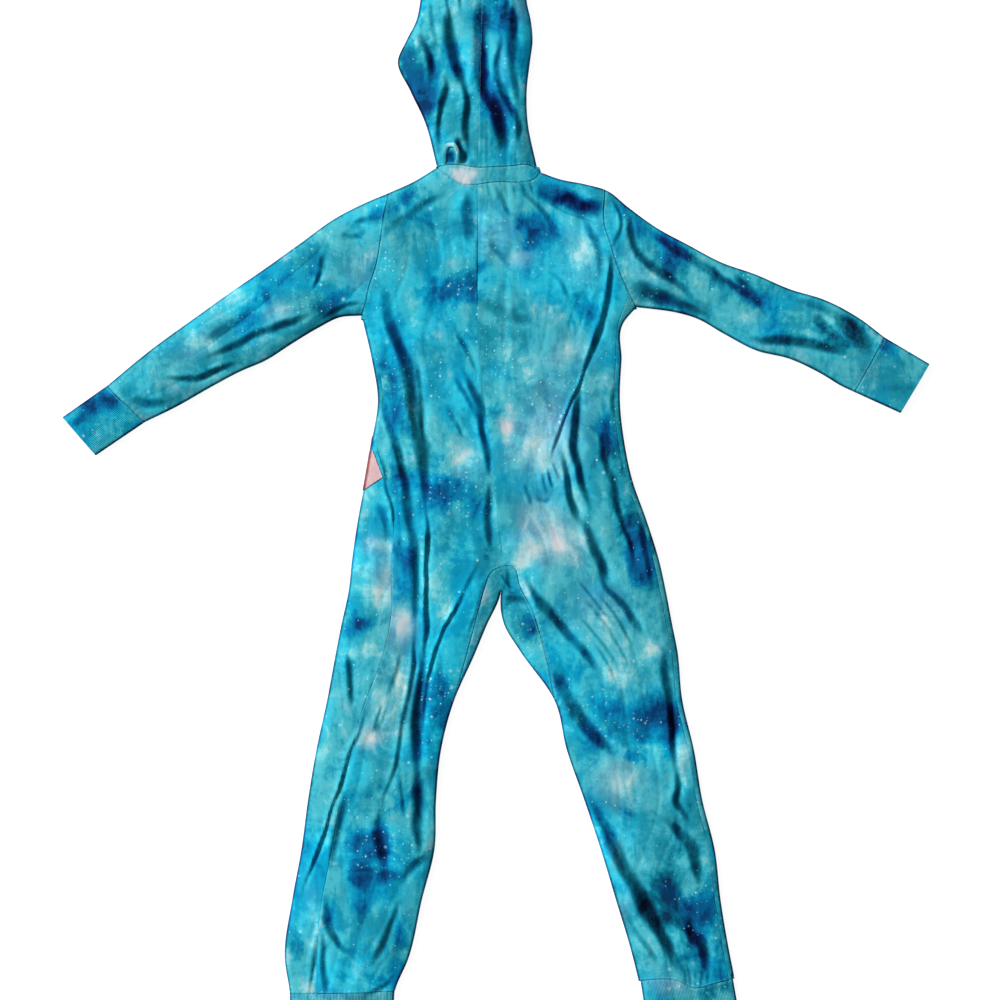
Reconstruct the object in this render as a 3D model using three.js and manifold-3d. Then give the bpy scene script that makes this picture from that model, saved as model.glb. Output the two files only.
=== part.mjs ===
// A child's hooded one-piece sleep suit, laid flat on its front, back upwards.
// Every piece of cloth is cut from a thin-walled tube: an outer skin lofted through rings, less
// the same tube one wall further in, kept inside the outline of the piece. Seams are the lines
// that two outlines share, and each outline stands back half a seam gap from them.
// Units are millimetres. +X is the wearer's right, +Y points to the hood, +Z is up.

import * as THREE from 'three';
import { mergeVertices } from 'three/addons/utils/BufferGeometryUtils.js';
import Module from 'manifold-3d';

const wasm = await Module();
wasm.setup();

// ---------- driving sizes ----------

const JERSEY = 1.2; // wall of the printed jersey
const RIB = 1.6; // wall of the doubled rib cuffs
const SEAM_GAP = 0.3; // room between two pieces at a seam
const EDGE_HEIGHT = 6; // the laid suit's height where it folds over at its edges
const EDGE_RADIUS = EDGE_HEIGHT / 2;
const BODY_LOFT = 8; // how much higher the cloth lies away from the edges
const HOOD_LOFT = 15;
const HOOD_LOFT_FROM = 350; // the loft grows from the body's to the hood's between these Y
const HOOD_LOFT_TO = 420;
const LOFT_REACH = 18; // distance from an edge over which the cloth rises
const FOLD_FADE = 14; // distance from an edge over which the folds die out
const OVERRUN = 3; // how far a cutting tube reaches past what it cuts
const SEAM_OVERRUN = 9; // how far a tube runs on past a cross seam before it is trimmed
const SIDE_WRAP = 7; // the right front folds over to the back by this much
const TALL = 80; // higher than anything in the suit
const ARMPIT_STEP = 5; // the yoke's rings start this far above the armpit

const POCKET_LIFT = JERSEY + SEAM_GAP; // the front panel rides this high over its pocket
const LOOP_WIDTH = 6;

const BODY_COLUMNS = 9; // spaces across the upper layer of a body ring
const SLEEVE_COLUMNS = 5;
const HOOD_COLUMNS = 9;
const CUFF_COLUMNS = 4;
const FLOOR_COLUMNS = 3; // spaces across the lower, flat layer
const ARC_ANGLES = [45, 0, -45]; // degrees, points round a folded edge

// ---------- tables ----------

// Half bodies from the armpit to the ankle: Y, X of the outer edge, X of the centre back line or,
// below the crotch, of the inner leg edge.
const LEFT_ROWS = table(['y', 'outer', 'inner'], [
  [176, -160, -22], [128, -149, -19], [80, -142, -14], [32, -149, -8], [-16, -157, -3],
  [-64, -166, 3], [-112, -173, 8], [-148, -177, 6], [-156, -178, 4.5], [-190, -186, -11],
  [-226, -193, -26], [-280, -203, -50], [-340, -216, -66], [-400, -226, -72],
  [-460, -234, -74], [-520, -245, -89], [-590, -254, -105], [-632, -248, -122],
]);
const RIGHT_ROWS = table(['y', 'outer', 'inner'], [
  [190, 167, -22], [176, 155, -22], [128, 151, -19], [80, 149, -14], [32, 154, -8], [-16, 164, -3],
  [-64, 181, 3], [-112, 196, 8], [-148, 204, 6], [-156, 206, 5.5], [-190, 212, 10],
  [-220, 218, 28], [-280, 224, 70], [-340, 238, 85], [-400, 248, 106],
  [-460, 263, 126], [-520, 270, 144], [-580, 280, 162], [-616, 287, 171],
]);
const CROTCH_OPEN_Y = -148; // last ring that is open at the centre back
const YOKE_RISE = [0, 0.25, 0.5, 0.75, 1]; // rings between the armpit line and the shoulder

// Upper edge of each half body: X, Y. It runs from beyond the armhole along the shoulder, and
// past the neckline into the hood.
const LEFT_SHOULDER = table(['x', 'y'], [
  [-176, 309], [-149, 322], [-130, 329], [-97, 344], [-71, 360], [-62, 374], [-22, 374],
]);
const RIGHT_SHOULDER = table(['x', 'y'], [
  [-22, 374], [45, 370], [54, 354], [77, 346], [107, 340], [134, 332], [158, 313], [187, 293],
]);

// Sleeves from the armhole to the wrist seam: upper edge and lower edge of each ring.
const LEFT_SLEEVE = table(['topX', 'topY', 'lowX', 'lowY'], [
  [-130, 329, -162, 182], [-156, 318, -187, 180], [-193, 299, -214, 167],
  [-235, 269, -244, 149], [-277, 239, -277, 128], [-319, 210, -307, 115],
  [-361, 180, -341, 97], [-416, 140, -385, 72], [-467, 98, -422, 54],
]);
const RIGHT_SLEEVE = table(['topX', 'topY', 'lowX', 'lowY'], [
  [134, 332, 168, 192], [158, 313, 187, 190], [191, 289, 215, 186], [233, 266, 240, 179],
  [271, 246, 274, 160], [311, 232, 313, 140], [353, 214, 353, 130], [395, 201, 391, 112],
  [435, 180, 416, 97], [467, 156, 431, 90],
]);

// Cuffs: the two ends of the seam, then the two ends of the open edge.
const CUFFS = {
  wrist_cuff_left: [[-467, 98], [-422, 54], [-521, 60], [-481, 14]],
  wrist_cuff_right: [[467, 156], [431, 90], [521, 124], [486, 65]],
  ankle_cuff_left: [[-248, -632], [-122, -630], [-246, -687], [-125, -687]],
  ankle_cuff_right: [[174, -620], [284, -610], [184, -684], [295, -673]],
};

// Hood from the neck to its tip: Y, X of the left and right edge.
const HOOD_ROWS = table(['y', 'left', 'right'], [
  [361, -71, 49], [416, -86, 38], [452, -103, 37], [488, -118, 41],
  [512, -108, 44], [536, -96, 42], [560, -91, 37], [590, -89, 38], [620, -85, 36],
  [646, -76, 28], [668, -60, 14], [682, -43, 0], [687, -30, -12],
]);
const HOOD_SKIRT = table(['y', 'left', 'right'], [[285, -96, 82], [352, -92, 76]]);

// Seam lines, X and Y.
const NECK_LEFT = [-71, 360];
const NECK_RIGHT = [54, 354];
const BACK_NECK = [
  NECK_LEFT, [-54, 346], [-38, 338], [-22, 338], [0, 341], [28, 341], [46, 345], NECK_RIGHT,
];
const HOOD_SEAM = [NECK_LEFT, [-54, 362], [-22, 358], [17, 360], [42, 361], NECK_RIGHT];
const FRONT_NECK_LEFT = [NECK_LEFT, [-52, 325], [-28, 306], [-14, 302]];
const FRONT_NECK_RIGHT = [[16, 302], [30, 305], [46, 322], NECK_RIGHT];
const PLACKET = [[-14, 302], [16, 302], [20, -70], [-10, -70]];
const CENTRE_FRONT = [[6, -70], [8, -119]];
const CENTRE_BACK = [
  [-22, 338], [-22, 176], [-19, 128], [-14, 80], [-8, 32], [-3, -16], [3, -64], [8, -112], [8, -119],
];
const HOOD_CENTRE = [[-22, 358], [-20, 404], [-19, 464], [-17, 560], [-22, 632], [-25, 700]];
const LEFT_ARMHOLE = [
  [-129, 345], [-130, 322], [-134, 302], [-138, 272], [-144, 239], [-152, 215], [-156, 196],
  [-160, 185], [-167, 172],
];
const RIGHT_ARMHOLE = [
  [133, 346], [131, 325], [130, 293], [138, 266], [150, 230], [160, 208], [168, 193], [174, 180],
];
const LEFT_SIDE_SEAM = [
  [-156, 196], [-152, 172], [-142, 128], [-135, 80], [-142, 26], [-130, -16], [-122, -64],
  [-125, -112], [-126, -184], [-137, -232], [-156, -280], [-181, -376], [-199, -472],
  [-209, -524], [-214, -576], [-216, -632],
];
const RIGHT_SIDE_SEAM = [
  [160, 208], [154, 192], [148, 176],
  ...RIGHT_ROWS.filter((row) => row.y < 170).map((row) => [row.outer - SIDE_WRAP, row.y]),
];
const GUSSET_LEFT = [
  [8, -119], [-5, -126], [-13, -145], [-19, -167], [-32, -215], [-50, -280], [-40, -296],
];
const GUSSET_RIGHT = [
  [8, -119], [21, -120], [29, -142], [44, -172], [59, -222], [70, -276], [62, -292],
];
const LEFT_ANKLE = [[-100, -629.5], [-216, -632], [-300, -634]];
const RIGHT_ANKLE = [[150, -620], [223, -618], [234, -624], [262, -620], [280, -616], [330, -604]];
const LEFT_WRIST = [[-489, 119], [-400, 33]];
const RIGHT_WRIST = [[483, 186], [417, 64]];

// Face opening on the hood's underside: a lens from the front neck to the crown.
const FACE = { from: [1, 302], to: [-22, 632], halfWidth: 24, steps: 6 };

// Pocket on the left front: its outline on the upper side and on the lower side of the fold.
const POCKET_ABOVE = [[-143, 22], [-136, -12], [-158, -27], [-190, -30], [-190, 30]];
const POCKET_BELOW = [[-190, 34], [-60, 44], [-56, -74], [-156, -28], [-190, -30]];
const POCKET_BED = { x: -110, halfX: 80, fallX: 24, y: -16, halfY: 96, fallY: 36 };

// Hanger loop: a strap laid on the hood from the neck seam and back.
const LOOP_PATH = [[-62, 364], [-62, 375], [-58, 385], [-51, 385], [-46, 377], [-45, 365]];

// Folds of the upper layer: from, by way of, to, half width and height (troughs are below 0).
const FOLDS = table(['x1', 'y1', 'x2', 'y2', 'x3', 'y3', 'width', 'height'], [
  [-143, 220, -109, 118, -96, 48, 11, -5], [-96, 48, -83, -60, -88, -208, 9, -3.5],
  [-90, -220, -94, -320, -94, -462, 9, -5], [-118, 20, -97, -110, -103, -265, 9, -3.5],
  [-103, -265, -128, -370, -131, -486, 10, -4.5], [-24, -121, -58, -180, -88, -276, 10, -4],
  [-41, 120, -14, 40, -7, -101, 10, -3], [138, 250, 121, 164, 65, 7, 9, -4],
  [97, 91, 96, 30, 109, -35, 9, -3], [79, 18, 105, -70, 174, -203, 10, -4],
  [125, 40, 146, -40, 162, -103, 10, -3], [41, -145, 68, -185, 124, -253, 11, -5],
  [71, -247, 100, -300, 172, -362, 14, -6], [202, -211, 210, -300, 221, -395, 10, -4],
  [108, -391, 160, -490, 221, -596, 13, -6], [211, -431, 240, -462, 242, -512, 8, -3],
  [-156, -278, -190, -400, -239, -524, 11, -3], [-206, -534, -195, -572, -164, -582, 10, -4],
  [32, 338, 72, 310, 130, 294, 11, 3], [160, 296, 180, 250, 235, 205, 11, -4],
  [162, 218, 215, 198, 262, 184, 9, -4], [355, 203, 400, 190, 432, 155, 9, -4],
  [334, 155, 390, 146, 444, 127, 9, 3], [-187, 280, -165, 294, -138, 299, 9, -2],
  [-173, 198, -266, 163, -352, 131, 11, -3], [-12, 554, -15, 480, -10, 400, 15, -8],
  [-62, 560, -58, 490, -38, 400, 10, -5], [24, 560, 20, 500, 29, 426, 9, -4],
]);
const FOLD_STEPS = 6;

// ---------- small helpers ----------

function table(columns, rows) {
  return rows.map((row) => Object.fromEntries(columns.map((name, i) => [name, row[i]])));
}

const lerp = THREE.MathUtils.lerp;
const smooth = (value) => THREE.MathUtils.smoothstep(value, 0, 1);
const mixPoint = (a, b, s) => [lerp(a[0], b[0], s), lerp(a[1], b[1], s)];

function lookUp(rows, key, column, value) {
  const ordered = [...rows].sort((a, b) => a[key] - b[key]);
  const last = ordered.length - 1;
  if (value <= ordered[0][key]) return ordered[0][column];
  if (value >= ordered[last][key]) return ordered[last][column];
  const next = ordered.findIndex((row) => row[key] >= value);
  const [low, high] = [ordered[next - 1], ordered[next]];
  return lerp(low[column], high[column], (value - low[key]) / (high[key] - low[key]));
}

// Nearest point of a line of points: its distance and how far along the line it lies, 0 to 1.
function nearest(line, x, y) {
  let best = { distance: Infinity, along: 0 };
  for (let i = 0; i < line.length - 1; i++) {
    const [ax, ay] = line[i];
    const [dx, dy] = [line[i + 1][0] - ax, line[i + 1][1] - ay];
    const length = dx * dx + dy * dy;
    const s = THREE.MathUtils.clamp(((x - ax) * dx + (y - ay) * dy) / length, 0, 1);
    const distance = Math.hypot(ax + s * dx - x, ay + s * dy - y);
    if (distance < best.distance) best = { distance, along: (i + s) / (line.length - 1) };
  }
  return best;
}

function isInside(polygon, x, y) {
  let inside = false;
  polygon.forEach(([ax, ay], i) => {
    const [bx, by] = polygon[(i + 1) % polygon.length];
    if (ay > y !== by > y && x < ((bx - ax) * (y - ay)) / (by - ay) + ax) inside = !inside;
  });
  return inside;
}

// ---------- the laid suit's outline and height ----------

function suitOutline() {
  const down = (rows, column) => rows.map((row) => [row[column], row.y]);
  const tops = (rows) => rows.map((row) => [row.topX, row.topY]);
  const lows = (rows) => rows.map((row) => [row.lowX, row.lowY]);
  const legs = (rows) => rows.filter((row) => row.y < CROTCH_OPEN_Y);
  const between = (rows, from, to) => rows.filter((p) => p.x > from && p.x < to).map((p) => [p.x, p.y]);
  const [wristLeft, wristRight] = [CUFFS.wrist_cuff_left, CUFFS.wrist_cuff_right];
  const [ankleLeft, ankleRight] = [CUFFS.ankle_cuff_left, CUFFS.ankle_cuff_right];
  return [
    ...down(HOOD_ROWS, 'left'),
    ...down(HOOD_ROWS, 'right').reverse(),
    NECK_RIGHT,
    ...between(RIGHT_SHOULDER, 60, 130),
    ...tops(RIGHT_SLEEVE),
    wristRight[2],
    wristRight[3],
    ...lows(RIGHT_SLEEVE).reverse(),
    ...down(RIGHT_ROWS.slice(1), 'outer'),
    ankleRight[3],
    ankleRight[2],
    ...down(legs(RIGHT_ROWS), 'inner').reverse(),
    ...down(legs(LEFT_ROWS), 'inner'),
    ankleLeft[3],
    ankleLeft[2],
    ...down(LEFT_ROWS, 'outer').reverse(),
    ...lows(LEFT_SLEEVE),
    wristLeft[3],
    wristLeft[2],
    ...tops(LEFT_SLEEVE).reverse(),
    ...between(LEFT_SHOULDER, -125, -80),
  ];
}

const OUTLINE = suitOutline();
const CLOSED_OUTLINE = [...OUTLINE, OUTLINE[0]];

function edgeDistance(x, y) {
  return isInside(OUTLINE, x, y) ? nearest(CLOSED_OUTLINE, x, y).distance : 0;
}

const FOLD_LINES = FOLDS.map((fold) => {
  const { x1, y1, x2, y2, x3, y3, width, height } = fold;
  const curve = new THREE.SplineCurve([
    new THREE.Vector2(x1, y1),
    new THREE.Vector2(x2, y2),
    new THREE.Vector2(x3, y3),
  ]);
  const line = curve.getPoints(FOLD_STEPS).map((p) => [p.x, p.y]);
  return { line, width, height };
});

function foldHeight(x, y) {
  let sum = 0;
  for (const { line, width, height } of FOLD_LINES) {
    const { distance, along } = nearest(line, x, y);
    const ends = smooth(4 * along) * smooth(4 * (1 - along));
    sum += height * ends * Math.exp(-((distance / width) ** 2));
  }
  return sum;
}

// The front panel's bed over the pocket, which lies between it and the floor.
function floorHeight(x, y) {
  const reachX = POCKET_BED.halfX + POCKET_BED.fallX - Math.abs(x - POCKET_BED.x);
  const reachY = POCKET_BED.halfY + POCKET_BED.fallY - Math.abs(y - POCKET_BED.y);
  return POCKET_LIFT * smooth(reachX / POCKET_BED.fallX) * smooth(reachY / POCKET_BED.fallY);
}

function topHeight(x, y) {
  const inside = Math.max(0, edgeDistance(x, y) - EDGE_RADIUS);
  const towardsHood = smooth((y - HOOD_LOFT_FROM) / (HOOD_LOFT_TO - HOOD_LOFT_FROM));
  const loft = lerp(BODY_LOFT, HOOD_LOFT, towardsHood) * (1 - Math.exp(-inside / LOFT_REACH));
  return floorHeight(x, y) + EDGE_HEIGHT + loft + foldHeight(x, y) * smooth(inside / FOLD_FADE);
}

// ---------- rings and tubes ----------

// One closed ring round the laid tube. `plan` gives X, Y for a distance from edge a along a
// straight line of length `width`; `folded` says which of its two ends are folded edges.
// `inset` moves the whole ring in by a wall, or out if it is below 0.
function ring(plan, width, folded, inset, columns) {
  const radius = EDGE_RADIUS;
  const start = folded[0] ? radius : 0;
  const end = width - (folded[1] ? radius : 0);
  const points = [];
  const put = (offset, z) => points.push(new THREE.Vector3(...plan(offset), z));

  for (let i = 0; i <= columns; i++) {
    const offset = lerp(start, end, i / columns);
    put(offset, topHeight(...plan(offset)) - inset);
  }
  turn(1);
  for (let i = 0; i <= FLOOR_COLUMNS; i++) {
    const offset = lerp(end, start, i / FLOOR_COLUMNS);
    put(offset, floorHeight(...plan(offset)) + inset);
  }
  turn(0);
  return points;

  // Points round the folded edge, or down the open end, of end a (0) or end b (1).
  function turn(which) {
    const edge = which ? width : 0;
    const outward = which ? 1 : -1;
    const angles = which ? ARC_ANGLES : [...ARC_ANGLES].reverse();
    const [low, high] = [floorHeight(...plan(edge)), topHeight(...plan(edge))];
    for (const angle of angles) {
      const radians = THREE.MathUtils.degToRad(angle);
      if (folded[which]) {
        const reach = (radius - inset) * Math.cos(radians) - radius;
        put(edge + outward * reach, low + radius + (radius - inset) * Math.sin(radians));
      } else {
        const past = inset > 0 ? OVERRUN : 0;
        put(edge + outward * past, lerp(low + inset, high - inset, (angle + 90) / 180));
      }
    }
  }
}

// A straight ring from plan point a to plan point b.
function straightRing(a, b, folded, inset, columns) {
  const width = Math.hypot(b[0] - a[0], b[1] - a[1]);
  return ring((offset) => mixPoint(a, b, offset / width), width, folded, inset, columns);
}

// A closed solid through rings that all have the same number of points. Each end is capped by a
// triangulation of its ring, laid out by the distance along the ring's plan and by height.
function loft(rings) {
  const count = rings[0].length;
  const faces = [];
  for (let row = 0; row < rings.length - 1; row++) {
    for (let i = 0; i < count; i++) {
      const [a, b] = [row * count + i, row * count + ((i + 1) % count)];
      faces.push([a, a + count, b], [b, a + count, b + count]);
    }
  }
  const cap = (row) => {
    const [first, second] = rings[row];
    const along = new THREE.Vector2(second.x - first.x, second.y - first.y).normalize();
    const flat = rings[row].map((p) => {
      const offset = new THREE.Vector2(p.x - first.x, p.y - first.y).dot(along);
      return new THREE.Vector2(offset, p.z);
    });
    return THREE.ShapeUtils.triangulateShape(flat, []).map((corners) => {
      const inOrder = [...corners].sort((a, b) => a - b);
      return inOrder.map((i) => row * count + i);
    });
  };
  faces.push(...cap(0), ...cap(rings.length - 1).map((corners) => corners.reverse()));
  return solidFrom(rings.flat().flatMap((p) => [p.x, p.y, p.z]), faces.flat());
}

function solidFrom(positions, indices) {
  const corner = (i) => new THREE.Vector3(...positions.slice(3 * i, 3 * i + 3));
  let volume = 0;
  for (let i = 0; i < indices.length; i += 3) {
    const [a, b, c] = [corner(indices[i]), corner(indices[i + 1]), corner(indices[i + 2])];
    volume += a.dot(b.cross(c));
  }
  return new wasm.Manifold(new wasm.Mesh({
    numProp: 3,
    vertProperties: new Float32Array(positions),
    triVerts: new Uint32Array(volume < 0 ? [...indices].reverse() : indices),
  }));
}

// ---------- the tubes of the suit ----------

function bodyRings(side, inset) {
  const isLeft = side === 'left';
  const [rows, shoulder] = isLeft ? [LEFT_ROWS, LEFT_SHOULDER] : [RIGHT_ROWS, RIGHT_SHOULDER];
  const yokeLine = rows[0].y + ARMPIT_STEP;
  const cutter = inset > 0 ? OVERRUN : 0;
  const [yokeLeft, yokeRight] = isLeft
    ? [shoulder[0].x, rows[0].inner]
    : [rows[0].inner, shoulder.at(-1).x];

  const yoke = [...YOKE_RISE].reverse().map((rise) => {
    const width = yokeRight - yokeLeft;
    const plan = (offset) => {
      const x = yokeLeft + offset;
      const isShoulder = isLeft ? x < NECK_LEFT[0] : x > NECK_RIGHT[0];
      const upper = lookUp(shoulder, 'x', 'y', x) - (isShoulder ? Math.max(inset, 0) : -cutter);
      return [x, lerp(yokeLine, upper, rise)];
    };
    return ring(plan, width, [false, false], inset, BODY_COLUMNS);
  });

  const pastAnkle = { ...rows.at(-1), y: rows.at(-1).y - SEAM_OVERRUN - cutter };
  const body = [...rows, pastAnkle].map(({ y, outer, inner }) => {
    const isLeg = y < CROTCH_OPEN_Y;
    const ends = isLeft ? [[outer, y], [inner, y]] : [[inner, y], [outer, y]];
    return straightRing(...ends, [isLeft || isLeg, !isLeft || isLeg], inset, BODY_COLUMNS);
  });
  return [...yoke, ...body];
}

// A tube with both edges folded through pairs of plan points. Inside tubes reach past open ends.
function tubeRings(pairs, inset, columns, openStart, openEnd) {
  const run = pairs.map((pair) => [...pair]);
  const reach = (here, before, by) => here.map((point, k) => {
    const [dx, dy] = [point[0] - before[k][0], point[1] - before[k][1]];
    const length = Math.hypot(dx, dy);
    return [point[0] + (dx / length) * by, point[1] + (dy / length) * by];
  });
  if (inset > 0) {
    run[0] = reach(run[0], run[1], openStart ? OVERRUN : -inset);
    run[run.length - 1] = reach(run.at(-1), run.at(-2), openEnd ? OVERRUN : -inset);
  }
  return run.map(([a, b]) => straightRing(a, b, [true, true], inset, columns));
}

function sleevePairs(rows, start) {
  const pairs = rows.map((row) => [[row.topX, row.topY], [row.lowX, row.lowY]]);
  const [last, before] = [pairs.at(-1), pairs.at(-2)];
  const beyond = last.map((point, k) => mixPoint(before[k], point, 1.25));
  return [start, ...pairs, beyond];
}

function cuffPairs([seamA, seamB, endA, endB]) {
  const before = [mixPoint(endA, seamA, 1.15), mixPoint(endB, seamB, 1.15)];
  return [before, [mixPoint(seamA, endA, 0.45), mixPoint(seamB, endB, 0.45)], [endA, endB]];
}

function hoodRings(inset) {
  const skirt = HOOD_SKIRT.map(({ y, left, right }, i) => {
    const level = y - (i === 0 && inset > 0 ? OVERRUN : 0);
    return straightRing([left, level], [right, level], [false, false], inset, HOOD_COLUMNS);
  });
  const rows = HOOD_ROWS.map(({ y, left, right }) => [[left, y], [right, y]]);
  return [...skirt, ...tubeRings(rows, inset, HOOD_COLUMNS, true, false).map((r, i) => (
    i === 0 ? straightRing(...rows[0], [true, true], inset, HOOD_COLUMNS) : r
  ))];
}

const shell = (rings, wall) => loft(rings(0)).subtract(loft(rings(wall)));

const leftBody = shell((inset) => bodyRings('left', inset), JERSEY);
const rightBody = shell((inset) => bodyRings('right', inset), JERSEY);
const wholeBody = leftBody.add(rightBody);
const hoodShell = shell(hoodRings, JERSEY);
const LEFT_SLEEVE_START = [[-112, 338], [-146, 172]];
const RIGHT_SLEEVE_START = [[112, 339], [150, 172]];
const sleeveShell = (rows, start) => shell(
  (inset) => tubeRings(sleevePairs(rows, start), inset, SLEEVE_COLUMNS, true, true),
  JERSEY,
);
const cuffShell = (corners) => shell(
  (inset) => tubeRings(cuffPairs(corners), inset, CUFF_COLUMNS, true, true),
  RIB,
);

// ---------- outlines of the pieces ----------

// Moves each side of a closed outline inwards by half the seam gap.
function drawnIn(outline) {
  const turned = THREE.ShapeUtils.area(outline.map(([x, y]) => new THREE.Vector2(x, y))) < 0;
  const points = turned ? [...outline].reverse() : outline;
  const count = points.length;
  return points.map((point, i) => {
    const before = points[(i + count - 1) % count];
    const after = points[(i + 1) % count];
    const normals = [[before, point], [point, after]].map(([a, b]) => {
      const length = Math.hypot(b[0] - a[0], b[1] - a[1]);
      return [-(b[1] - a[1]) / length, (b[0] - a[0]) / length];
    });
    const sum = [normals[0][0] + normals[1][0], normals[0][1] + normals[1][1]];
    const scale = SEAM_GAP / Math.max(sum[0] ** 2 + sum[1] ** 2, 0.6);
    return [point[0] + sum[0] * scale, point[1] + sum[1] * scale];
  });
}

// A plan outline as an upright prism between two heights.
function prism(outline, low = -TALL, high = TALL) {
  const shape = new THREE.Shape(drawnIn(outline).map(([x, y]) => new THREE.Vector2(x, y)));
  const geometry = new THREE.ExtrudeGeometry(shape, { depth: high - low, bevelEnabled: false });
  geometry.deleteAttribute('normal');
  geometry.deleteAttribute('uv');
  const merged = mergeVertices(geometry.translate(0, 0, low), 1e-4);
  return solidFrom([...merged.attributes.position.array], [...merged.index.array]);
}

const MIDDLE = EDGE_HEIGHT / 2;
const above = (outline) => prism(outline, MIDDLE + SEAM_GAP / 2);
const below = (outline) => prism(outline, -TALL, MIDDLE - SEAM_GAP / 2);
const overUnder = (upper, lower) => prism(upper, MIDDLE).add(prism(lower, -TALL, MIDDLE));
const reversed = (line) => [...line].reverse();

const backNeckLeft = BACK_NECK.slice(0, 4);
const backNeckRight = BACK_NECK.slice(3);
const leftArmholeUpper = LEFT_ARMHOLE.slice(0, 7);
const rightArmholeUpper = RIGHT_ARMHOLE.slice(0, 6);
const OUTSIDE_LEFT_SHOULDER = [-98, 354];
const OUTSIDE_RIGHT_SHOULDER = [84, 350];

const backLeftOutline = [
  ...backNeckLeft, ...CENTRE_BACK.slice(1), ...GUSSET_LEFT.slice(1), ...LEFT_ANKLE.slice(0, 1),
  ...reversed(LEFT_SIDE_SEAM), ...reversed(leftArmholeUpper).slice(1), OUTSIDE_LEFT_SHOULDER,
];
const backRightOutline = [
  ...backNeckRight, OUTSIDE_RIGHT_SHOULDER, ...rightArmholeUpper, ...RIGHT_SIDE_SEAM.slice(1),
  ...reversed(RIGHT_ANKLE.slice(0, 4)), ...reversed(GUSSET_RIGHT),
  ...reversed(CENTRE_BACK).slice(1, -1),
];
const leftWrapOutline = [
  ...LEFT_SIDE_SEAM, LEFT_ANKLE[2], [-300, 172], ...reversed(LEFT_ARMHOLE.slice(7)),
];
const frontLeftOutline = [
  ...FRONT_NECK_LEFT, PLACKET[3], ...CENTRE_FRONT, ...GUSSET_LEFT.slice(1), ...LEFT_ANKLE,
  [-300, 172], ...reversed(LEFT_ARMHOLE), OUTSIDE_LEFT_SHOULDER,
];
const rightWrapOutline = [
  ...RIGHT_SIDE_SEAM, RIGHT_ANKLE[5], [330, 180], ...reversed(RIGHT_ARMHOLE.slice(6)),
];
const frontRightOutline = [
  ...FRONT_NECK_RIGHT, OUTSIDE_RIGHT_SHOULDER, ...RIGHT_ARMHOLE, [330, 180],
  ...reversed(RIGHT_ANKLE), ...reversed(GUSSET_RIGHT), CENTRE_FRONT[0], PLACKET[2],
];
const gussetOutline = [...GUSSET_LEFT, ...reversed(GUSSET_RIGHT).slice(0, -1)];

const leftSleeveOutline = [
  ...LEFT_ARMHOLE, [-167, 20], ...reversed(LEFT_WRIST), [-480, 400], [-129, 400],
];
const rightSleeveOutline = [
  ...RIGHT_ARMHOLE, [174, 20], ...reversed(RIGHT_WRIST), [480, 400], [133, 400],
];
const cuffOutlines = {
  wrist_cuff_left: [...LEFT_WRIST, [-440, -80], [-620, -80], [-620, 119]],
  wrist_cuff_right: [...RIGHT_WRIST, [440, -40], [620, -40], [620, 186]],
  ankle_cuff_left: [...LEFT_ANKLE, [-300, -760], [-100, -760]],
  ankle_cuff_right: [...RIGHT_ANKLE, [330, -760], [150, -760]],
};

const faceEdge = (side) => Array.from({ length: FACE.steps + 1 }, (_, i) => {
  const [x, y] = mixPoint(FACE.from, FACE.to, i / FACE.steps);
  return [x + side * FACE.halfWidth * Math.sin((Math.PI * i) / FACE.steps), y];
});
const hoodCrown = HOOD_CENTRE.slice(-1);
const BESIDE_NECK_RIGHT = [50, 368];
const hoodUpper = {
  left: [...HOOD_SEAM.slice(0, 3), ...HOOD_CENTRE.slice(1), [-200, 700], [-200, 366]],
  right: [...HOOD_CENTRE.slice(0, 1), ...HOOD_SEAM.slice(3), BESIDE_NECK_RIGHT, [200, 368], [200, 700],
    ...reversed(HOOD_CENTRE).slice(0, -1)],
};
const hoodLower = {
  left: [...FRONT_NECK_LEFT, ...faceEdge(-1), ...hoodCrown, [-200, 700], [-200, 366]],
  right: [...faceEdge(1), ...hoodCrown, [200, 700], [200, 368], BESIDE_NECK_RIGHT,
    ...reversed(FRONT_NECK_RIGHT)],
};
const neckBandOutline = [...BACK_NECK, ...reversed(HOOD_SEAM).slice(1, -1)];

// ---------- pieces ----------

// A flat strap of cloth lying a seam gap above the suit along a plan path.
function strap(path, width) {
  const sections = path.map((point, i) => {
    const before = path[Math.max(i - 1, 0)];
    const after = path[Math.min(i + 1, path.length - 1)];
    const length = Math.hypot(after[0] - before[0], after[1] - before[1]);
    const side = [-(after[1] - before[1]) / length, (after[0] - before[0]) / length];
    const edge = (k) => [point[0] + side[0] * k * width, point[1] + side[1] * k * width];
    const bed = Math.max(...[-0.5, 0, 0.5].map((k) => topHeight(...edge(k)))) + SEAM_GAP;
    const corners = [[-0.5, 0], [0.5, 0], [0.5, JERSEY], [-0.5, JERSEY]];
    return corners.map(([k, up]) => new THREE.Vector3(...edge(k), bed + up));
  });
  return loft(sections);
}

const pocketSkin = loft(bodyRings('left', -SEAM_GAP - JERSEY)).subtract(
  loft(bodyRings('left', -SEAM_GAP)),
);

const PRINT = { color: '#2391b5', roughness: 0.85, metalness: 0 };
const PINK = { color: '#b795b6', roughness: 0.85, metalness: 0 };

// The largest body of a cut solid, without the crumbs that the cut may leave at a corner.
function mainBody(solid) {
  return solid.decompose().sort((a, b) => b.volume() - a.volume())[0];
}

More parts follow.
